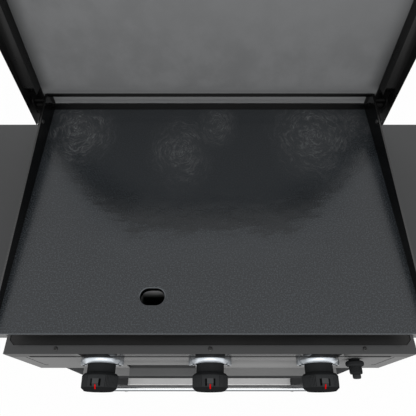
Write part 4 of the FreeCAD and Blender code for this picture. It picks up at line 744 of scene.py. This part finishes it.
# Knob bezels: chromed die-cast rings with a rounded collar round the knob's neck, and a
# deep ear at each side for the screw that holds the ring to its valve. The ears and the
# flanks of the ring mirror dark things, so their chrome is painted darker.
bezel_chrome, shader, where = new_finish("bezel_chrome", Metallic=0.6)
flank = where.part("X").maths("PINGPONG", KNOB_PITCH / 2).step(0.021, 0.03)
bright = where.noise(70, 3).mix(grey(0.76, -0.07), grey(0.84, -0.07))
feed(
    shader,
    Base_Color=flank.mix(bright, grey(0.36, -0.07)),
    Roughness=where.noise(120, 3) * 0.12 + 0.3,
)
ear_chrome, shader, where = new_finish("ear_chrome", Metallic=0.6)
feed(
    shader,
    Base_Color=where.noise(70, 3).mix(grey(0.24, -0.06), grey(0.3, -0.06)),
    Roughness=where.noise(120, 3) * 0.12 + 0.26,
)
COLLAR_BORE = 27.5
COLLAR_FOOT = 36.6
EAR_RADIUS = 6.2
EAR_REACH = 9.0
facing_front = Matrix.Rotation(math.radians(90), 4, "X")
knob_xs = {"left": -KNOB_PITCH, "middle": 0.0, "right": KNOB_PITCH}
bezel_radius = (bezel_high.z - bezel_low.z) / 2 / MM
rings = []
for x in knob_xs.values():
    ring = turned(
        [
            (COLLAR_BORE, 0),
            (COLLAR_FOOT, 0),
            (COLLAR_FOOT, 1.5),
            (COLLAR_FOOT - 0.4, 2.7),
            (COLLAR_FOOT - 1.3, 4.0),
            (34.1, 5.3),
            (32.6, 6.4),
            (30.8, 7.2),
            (29.2, 7.5),
            (28.1, 7.3),
            (COLLAR_BORE, 6.6),
        ],
        96,
    )
    rings.append(placed_mesh(ring, Vector((x, panel_face, axis_z)), facing_front))
    for side in (-1, 1):
        ear = turned(
            [
                (0, 0),
                (EAR_RADIUS, 0),
                (EAR_RADIUS, EAR_REACH - 1.6),
                (EAR_RADIUS - 0.5, EAR_REACH - 0.5),
                (EAR_RADIUS - 1.5, EAR_REACH),
                (0, EAR_REACH),
            ],
            32,
        )
        head = turned(
            [
                (0, EAR_REACH - 0.6),
                (2.1, EAR_REACH - 0.6),
                (2.1, EAR_REACH + 1.0),
                (1.6, EAR_REACH + 1.4),
                (0.9, EAR_REACH + 1.4),
                (0.8, EAR_REACH + 0.5),
                (0, EAR_REACH + 0.5),
            ],
            20,
        )
        ear_x = x + side * (bezel_radius - EAR_RADIUS) * MM
        spot = Vector((ear_x, panel_face, axis_z))
        paint_faces(ear.faces, 1)
        paint_faces(head.faces, 2)
        rings.append(placed_mesh(ear, spot, facing_front))
        rings.append(placed_mesh(head, spot, facing_front))
finishes = [bezel_chrome, ear_chrome, black_steel]
piece("knob_bezel_rings", joined(rings), finishes, "root", "bright_chrome", "knob_bezels")


# Knobs: moulded in black, with a plain neck, fine ribs in four groups round the grip, a
# pointer block between two slots, and a red line laid in the slope before it. Each one
# is pushed on to its valve's stem, against a plated spring seat.
coat(zinc, "spring_seat_left", "spring_seat_middle", "spring_seat_right")
FRONT_OF_NECK = 0.029
FRONT_OF_GRIP = 0.047
knob_plastic, shader, where = new_finish("knob_plastic", Specular_IOR_Level=0.0)
# The neck, in the shade of the bezel's collar, and the front face are painted darker: painted
# shade.
ahead = panel_face - where.part("Y")
neck = ahead.step(FRONT_OF_NECK, FRONT_OF_NECK - 0.0015)
front = ahead.step(FRONT_OF_GRIP, FRONT_OF_GRIP + 0.0015)
grip = where.noise(90, 3).mix(grey(0.038, -0.04), grey(0.05, -0.04))
feed(
    shader,
    Base_Color=(neck * 0.6).larger(front).mix(grip, grey(0.016, -0.04)),
    Roughness=where.noise(240, 3) * 0.2 + 0.36,
    Normal=where.noise(1600, 2).bump(0.00004),
)
# The pointer block is painted paler than the grip: a painted highlight on the same black
# plastic.
pointer_lit, shader, where = new_finish("pointer_lit", Specular_IOR_Level=0.1)
feed(
    shader,
    Base_Color=where.noise(300, 3).mix(grey(0.068, -0.03), grey(0.082, -0.03)),
    Normal=where.noise(1600, 2).bump(0.00004),
)
# The slots and the floors of the rib grooves are painted near-black: painted shade.
groove_shade, shader, where = new_finish(
    "groove_shade", Roughness=0.7, Specular_IOR_Level=0.1
)
feed(shader, Base_Color=where.noise(400, 2).mix(grey(0.0015), grey(0.003)))
RED = (0.62, 0.0003, 0.0003, 1)
LIGHTER_RED = (0.7, 0.0006, 0.0006, 1)
red_line, shader, where = new_finish("red_line", Roughness=0.45, Specular_IOR_Level=0.0)
feed(shader, Base_Color=where.noise(400, 2).mix(RED, LIGHTER_RED))

KNOB_STEPS = 216
RIB_PITCH = 3
RIB_GROUPS = [(28, 73), (107, 152), (208, 253), (287, 332)]
RIBS_FROM, RIBS_TO = 28.4, 47.2
RIB_DEPTH = 0.8
POINTER_COLUMNS = 6
SLOT_COLUMNS = 4
SLOTS_FROM, SLOTS_TO = 34.5, 46.4
SLOT_DEPTH = 3.6
SLOPE_START = 42.5
KNOB_REACH = 53.0
FACE_RADIUS = 26.0
LINE_SIZE = (2.2, 0.8, 8.8)
knob_low, knob_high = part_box("knob_middle")
knob_radius = (knob_high.z - knob_low.z) / 2 / MM
slope_fall = (knob_radius - FACE_RADIUS) / (KNOB_REACH - SLOPE_START)
pointer_turn = math.radians(360 / KNOB_STEPS * (POINTER_COLUMNS + 0.2))
for side, x in knob_xs.items():
    knob = turned(
        [
            (0, 4.3),
            (9, 4.3),
            (9, 27),
            (22.7, 27),
            (22.7, 7),
            (25.7, 7),
            (25.7, 24),
            (29.2, 24),
            (knob_radius - 0.3, 27.6),
            (knob_radius, RIBS_FROM),
            (knob_radius - 0.2, SLOTS_FROM),
            (knob_radius - 0.5, SLOPE_START),
            (knob_radius - 0.8, SLOTS_TO),
            (knob_radius - 0.9, RIBS_TO),
            (knob_radius - 1.0, 48),
            (FACE_RADIUS + 0.2, 52.8),
            (FACE_RADIUS - 0.4, KNOB_REACH),
            (0, KNOB_REACH),
        ],
        KNOB_STEPS,
    )
    # The pointer block stands out straight to the slope, which runs down to the face.
    for vert in knob.verts:
        reach = vert.co.z
        if vert.co.y > 20 and abs(math.atan2(vert.co.x, vert.co.y)) < pointer_turn:
            if SLOTS_FROM - 0.1 < reach < SLOPE_START + 0.1:
                vert.co.y = knob_radius
            elif SLOPE_START < reach < KNOB_REACH - 0.1:
                vert.co.y = knob_radius - (reach - SLOPE_START) * slope_fall
    # Column 0 lies on one side of the pointer's middle and column -1 on the other.
    ribs = []
    slots = []
    for face in knob.faces:
        radius, reach = radius_and_height(face)
        steps_round = column(face, KNOB_STEPS)
        from_pointer = max(steps_round, -1 - steps_round)
        if radius > 27 and SLOTS_FROM < reach < SLOTS_TO:
            if from_pointer < POINTER_COLUMNS:
                if reach < SLOPE_START:
                    face.material_index = 1
            elif from_pointer < POINTER_COLUMNS + SLOT_COLUMNS:
                slots.append(face)
        if radius > 30 and RIBS_FROM < reach < RIBS_TO and steps_round % RIB_PITCH == 0:
            degrees = steps_round % KNOB_STEPS * 360 / KNOB_STEPS
            if any(first <= degrees <= last for first, last in RIB_GROUPS):
                ribs.append(face)
    for faces, depth in ((ribs, RIB_DEPTH), (slots, SLOT_DEPTH)):
        sink(knob, faces, rim=0.12, depth=depth)
        paint_faces(faces, 2)
    place = Vector((x, panel_face, axis_z))
    piece(
        "knob_grip_" + side,
        placed_mesh(knob, place, facing_front),
        [knob_plastic, pointer_lit, groove_shade],
        side + "_knob",
        "knob_plastic",
        "knob_" + side,
    )
    mark = bmesh.new()
    bmesh.ops.create_cube(mark, size=1.0)
    bmesh.ops.scale(mark, vec=LINE_SIZE, verts=mark.verts)
    soften(mark, 0.2)
    mark_reach = (SLOPE_START + KNOB_REACH) / 2 - 0.3
    mark_radius = knob_radius - (mark_reach - SLOPE_START) * slope_fall
    lie = Matrix.Translation((0, mark_radius, mark_reach))
    lie = lie @ Matrix.Rotation(math.atan(slope_fall), 4, "X")
    bmesh.ops.transform(mark, matrix=lie, verts=mark.verts)
    piece(
        "pointer_line_" + side,
        placed_mesh(mark, place, facing_front),
        [red_line],
        side + "_knob",
        "knob_plastic",
    )


# Igniter: a threaded barrel held by a nut behind the panel, with a chamfered collar, a
# knurled sleeve and the push button in it, moulded in the knobs' black, and its spark
# module in a moulded case.
SLEEVE_STEPS = 72
COLLAR_FRONT = 13
KNURLS_FROM, KNURLS_TO = 14, 23.6
KNURL_PITCH = 3
KNURL_DEPTH = 0.7
low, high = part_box("igniter_body")
igniter_place = Vector(((low.x + high.x) / 2, panel_face, (low.z + high.z) / 2))
sleeve_reach = (panel_face - low.y) / MM
sleeve = turned(
    [
        (0, -15.5),
        (10, -15.5),
        (10, 4.5),
        (14.1, 4.5),
        (16.2, 6.6),
        (16.2, 10.9),
        (14.1, COLLAR_FRONT),
        (11.3, COLLAR_FRONT),
        (11.3, KNURLS_FROM),
        (11.3, KNURLS_TO),
        (10.4, sleeve_reach),
        (7.35, sleeve_reach),
        (7.35, 5),
        (0, 5),
    ],
    SLEEVE_STEPS,
)
knurls = []
for face in sleeve.faces:
    radius, reach = radius_and_height(face)
    if radius > 11 and KNURLS_FROM < reach < KNURLS_TO:
        if column(face, SLEEVE_STEPS) % KNURL_PITCH == 0:
            knurls.append(face)
sink(sleeve, knurls, rim=0.15, depth=KNURL_DEPTH)
collar_edges = []
for edge in sleeve.edges:
    if edge.is_manifold and edge.calc_face_angle() > SHARP:
        if radius_and_height(edge.link_faces[0])[1] < KNURLS_FROM + 0.2:
            collar_edges.append(edge)
soften(sleeve, 0.3, edges=collar_edges)
piece(
    "igniter_sleeve",
    placed_mesh(sleeve, igniter_place, facing_front),
    [knob_plastic],
    "root",
    "knob_plastic",
    "igniter_body",
)
button_reach = (panel_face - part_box("igniter_button")[0].y) / MM
button = turned(
    [
        (0, sleeve_reach - 14),
        (7.3, sleeve_reach - 14),
        (7.3, button_reach - 2.6),
        (6.9, button_reach - 1.1),
        (6.0, button_reach - 0.3),
        (4.4, button_reach),
        (3.2, button_reach - 0.35),
        (0, button_reach - 0.7),
    ],
    48,
)
piece(
    "igniter_push_button",
    placed_mesh(button, igniter_place, facing_front),
    [knob_plastic],
    "igniter",
    "knob_plastic",
    "igniter_button",
)
coat(black_steel, "igniter_nut")
coat(moulded_black, "igniter_module")


# Side shelves: pressed steel pans with rounded corners and turned-down lips, powder
# coated in a fine-grained dark grey, carried on square arms from the firebox.
shelf_coat = powder_coat("shelf_powder_coat", grey(0.0262, -0.04), grey(0.032, -0.04), 0.42)
coat(shelf_coat, "side_shelf_left", "side_shelf_right")
coat(frame_paint, "shelf_arms")


# Cooking plate: thick steel with welded walls and a rear rail, on four plated feet. Its oiled
# coating has baked to a speckled near-black, smoother over the middle, where wiping has left
# swirls towards the rear. Painted into its colour are a dark reflection of the open lid over
# the middle, the swirls' pale sheen, highlights along its front edge and wall tops, a lighter
# ring round the drain, and shade on the faces that don't face up.
coat(zinc, "griddle_feet")
SURFACE_Z = 0.9
LID_IMAGE_FRONT = -0.078
LID_IMAGE_HALF_WIDTH = 0.152
plate_low, plate_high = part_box("griddle_plate")
seasoned, shader, where = new_finish("seasoned_steel")
back = where.part("Y")
speckle = where.noise(400, 3, 0.75).step(0.42, 0.7)
clouds = where.noise(6, 4, 0.6)

# How far a place lies inside the painted dark reflection of the lid, whose front is ragged and
# whose front corners are cut off slantwise.
behind_front = back - LID_IMAGE_FRONT
behind_corner = (where.part("X").size() - LID_IMAGE_HALF_WIDTH) * -0.667 + behind_front * 0.745
ripple = where.placed(stretch=(1, 3.2, 1)).noise(24, 5, 0.68) - 0.5
streaks = where.placed(stretch=(1, 4, 1)).noise(60, 4, 0.7) * 0.07 - 0.035
inside = behind_front.maths("MINIMUM", behind_corner)
inside = inside + ripple * (back.step(0.1, -0.06) * 0.09 + 0.012)
inside = inside + streaks * back.step(0.0, -0.06)
# Painted reflection of the open lid: the middle is painted darker, darkest in a band just
# inside its front, with a lighter line just in front of it.
lid_image_edge = inside.step(-0.022, 0.022) * inside.step(0.11, 0.02)
lit_image_edge = inside.step(0.014, -0.01) * inside.step(-0.08, 0.0)
lid_image = speckle.mix(grey(0.023, -0.13), grey(0.036, -0.13))
base = (speckle * 0.9 + clouds * 0.1).mix(grey(0.013, -0.16), grey(0.059, -0.16))
base = inside.step(0.03, 0.1).mix(base, lid_image)
base = (lid_image_edge * (back.step(0.08, -0.02) * 0.4 + 0.2)).mix(base, grey(0.003, -0.5))
base = (lit_image_edge * 0.35).mix(base, grey(0.05, -0.13))

# Each wiped place: its middle, half its width and depth, and how pale it is. Its strokes are
# noise read round and round the middle; they are wipe marks with their pale sheen painted into
# the colour.
WIPED_PLACES = [
    (-0.289, 0.174, 0.058, 0.075, 1.0),
    (-0.06, 0.121, 0.05, 0.072, 0.7),
    (0.016, 0.191, 0.032, 0.05, 0.75),
    (0.231, 0.162, 0.07, 0.095, 0.85),
    (0.328, 0.19, 0.032, 0.048, 0.6),
]
WANDER = 0.44
STROKE_TURNS = 2.4
STROKE_RINGS = 17
wander = where.node("ShaderNodeTexNoise", {}, {"Vector": where, "Scale": 34.0}, "Color")
wander = wander.placed(move=(-WANDER / 2,) * 3, stretch=(WANDER,) * 3)
gaps = where.noise(38, 4, 0.7).step(0.36, 0.6)
swirls_and_sheen = None
for x, y, half_x, half_y, strength in WIPED_PLACES:
    middle = (-x / half_x, -y / half_y, -SURFACE_Z)
    outward = where.placed(move=middle, stretch=(1 / half_x, 1 / half_y, 1))
    outward = outward.vectors("ADD", wander)
    radius = outward.vectors("LENGTH", output="Value")
    heading = outward.vectors("NORMALIZE")
    wound = {
        "X": heading.part("X") * STROKE_TURNS + radius * 2,
        "Y": heading.part("Y") * STROKE_TURNS,
        "Z": radius * STROKE_RINGS,
    }
    strokes = radius.node("ShaderNodeCombineXYZ", {}, wound).noise(1.0, 4, 0.75)
    marks = strokes.step(0.42, 0.72) * gaps * 0.7 + 0.09
    spot = radius.step(1.75, 0.1) * marks * strength
    swirls_and_sheen = spot if swirls_and_sheen is None else swirls_and_sheen.larger(spot)

# A lighter ring is painted round the drain, which is a short slot with round ends, and a thin
# painted highlight runs along the plate's front edge. The walls' upper edges are painted paler
# towards the front: a painted highlight.
DRAIN_X, DRAIN_FROM_FRONT = -0.1, 0.063
DRAIN_HALF_STRAIGHT = 0.0065
RIM_RADIUS = 0.0164
HIGHLIGHT_WIDTH = 0.0008
upward = where.facing().part("Z").step(0.4, 0.9)
past_straight = (where.part("X") - DRAIN_X).size() - DRAIN_HALF_STRAIGHT
behind_drain = back - (plate_low.y + DRAIN_FROM_FRONT)
from_drain = {"X": past_straight.larger(0.0), "Y": behind_drain, "Z": 0.0}
from_drain = back.node("ShaderNodeCombineXYZ", {}, from_drain)
from_drain = from_drain.vectors("LENGTH", output="Value")
rim = from_drain.step(RIM_RADIUS + 0.0008, RIM_RADIUS)
rim = rim * behind_drain.step(-0.004, 0.006) * upward
front_edge_highlight = (back - plate_low.y).step(HIGHLIGHT_WIDTH + 0.0014, HIGHLIGHT_WIDTH) * upward
wall_top = (where.part("Z") - (SURFACE_Z + 0.002)).step(0.0, 0.001) * upward
wall_top_light = back.step(plate_high.y, plate_low.y).mix(grey(0.004), grey(0.05))

# Faces that don't face up, the walls' insides and the plate's front, are painted near-black:
# painted shade.
shown = upward.mix(grey(0.0003), swirls_and_sheen.mix(base, grey(0.2, -0.02)))
shown = wall_top.mix(shown, wall_top_light)
grains = speckle * (inside.step(0.04, 0.0) * 0.75 + 0.25)
relief = where.noise(30, 3, 0.5) * 9 + grains * 1.5 + swirls_and_sheen * 3
feed(
    shader,
    Base_Color=front_edge_highlight.larger(rim).mix(shown, grey(0.1, -0.1)),
    Roughness=(clouds * 0.08 + grains * 0.1 - 0.08) * upward + 0.26,
    Normal=(relief * upward).bump(0.00005),
)
coat(seasoned, "griddle_plate")


# Hinges: enamelled brackets screwed to the plate's walls, with the studs that stop the
# lid, and round hubs inside the lid's sides that turn on pins.
hinge_enamel = powder_coat("hinge_enamel", grey(0.002), grey(0.004), 0.55, gloss=0.05)
coat(hinge_enamel, "hinge_brackets", "lid_hubs", "hinge_pins")
coat(black_steel, "wall_screws")


# Lid: a folded and welded sheet-steel hood, black enamel all over but for the flat panel inside
# it, which is bare grey and mottled. Painted light makes the panel lighter at its upper right
# and brightest in a strip along its lower edge; painted shade darkens it towards its sides and
# beside the plate at its low end, and darkens the enamel on the inner sides and at the low end.
# Its chromed handle is held by two moulded posts.
PANEL_NORMAL = Vector((0.0, -0.989, 0.1478))
PIVOT = Vector((0, plate_high.y - 0.0122, 0.925))
PANEL_HALF_WIDTH = 0.3785
STRIP_TOP, STRIP_FOOT = 0.909, 0.896
LOW_END_TOP, LOW_END_FOOT = 0.93, 0.915
lid_enamel, shader, where = new_finish("lid_enamel", Specular_IOR_Level=0.3)
height = where.part("Z")
from_middle = where.part("X").size()
towards = where.facing().vectors("DOT_PRODUCT", PANEL_NORMAL, output="Value")
depth = where.vectors("DOT_PRODUCT", PANEL_NORMAL, output="Value") - PIVOT.dot(PANEL_NORMAL)
inner = towards.step(0.985, 0.998) * depth.step(-0.015, -0.025)
inner = inner * from_middle.step(PANEL_HALF_WIDTH, PANEL_HALF_WIDTH - 0.001)
mottle = where.noise(24, 5, 0.62) * 0.6 + where.noise(7, 3) * 0.4
bare = mottle.step(0.36, 0.64).mix(grey(0.158, -0.02), grey(0.188, -0.02))
# Towards its sides the panel is painted darker: painted shade.
bare = from_middle.step(0.342, 0.38).mix(bare, grey(0.09, -0.02))
# Its upper right is painted lighter: painted light.
upper_right_light = height.step(1.0, 1.12) * where.part("X").step(-0.35, 0.05)
bare = (upper_right_light * 0.6).mix(bare, grey(0.195, -0.02))
# A strip along its lower edge is painted bright: painted light.
lower_strip_light = height.step(STRIP_TOP, STRIP_FOOT).mix(grey(0.23, -0.02), grey(0.62, -0.02))
bare = height.step(0.95, 0.92).mix(bare, lower_strip_light)
# At the low end, beside the plate, the panel is painted near-black: painted shade.
low_end = height.step(LOW_END_TOP, LOW_END_FOOT)
beside_plate = low_end * from_middle.step(0.3575, 0.3585)
bare = beside_plate.mix(bare, grey(0.005))

# The enamel on the inner sides and at the low end is painted near-black: painted shade.
inner_side = where.facing().part("X").size().step(0.7, 0.9) * from_middle.step(0.395, 0.39)
enamel = where.noise(10, 4, 0.6).mix(grey(0.0075), grey(0.011))
enamel = inner_side.larger(low_end).mix(enamel, grey(0.002))
feed(
    shader,
    Base_Color=inner.mix(enamel, bare),
    Roughness=inner.larger(low_end * 2) * 0.24 + mottle * 0.08 + 0.24,
    Normal=(where.noise(380, 2) + where.noise(30, 3) * 3).bump(0.00003),
)
coat(lid_enamel, "lid_shell")
coat(chrome, "lid_handle")
coat(moulded_black, "handle_posts")
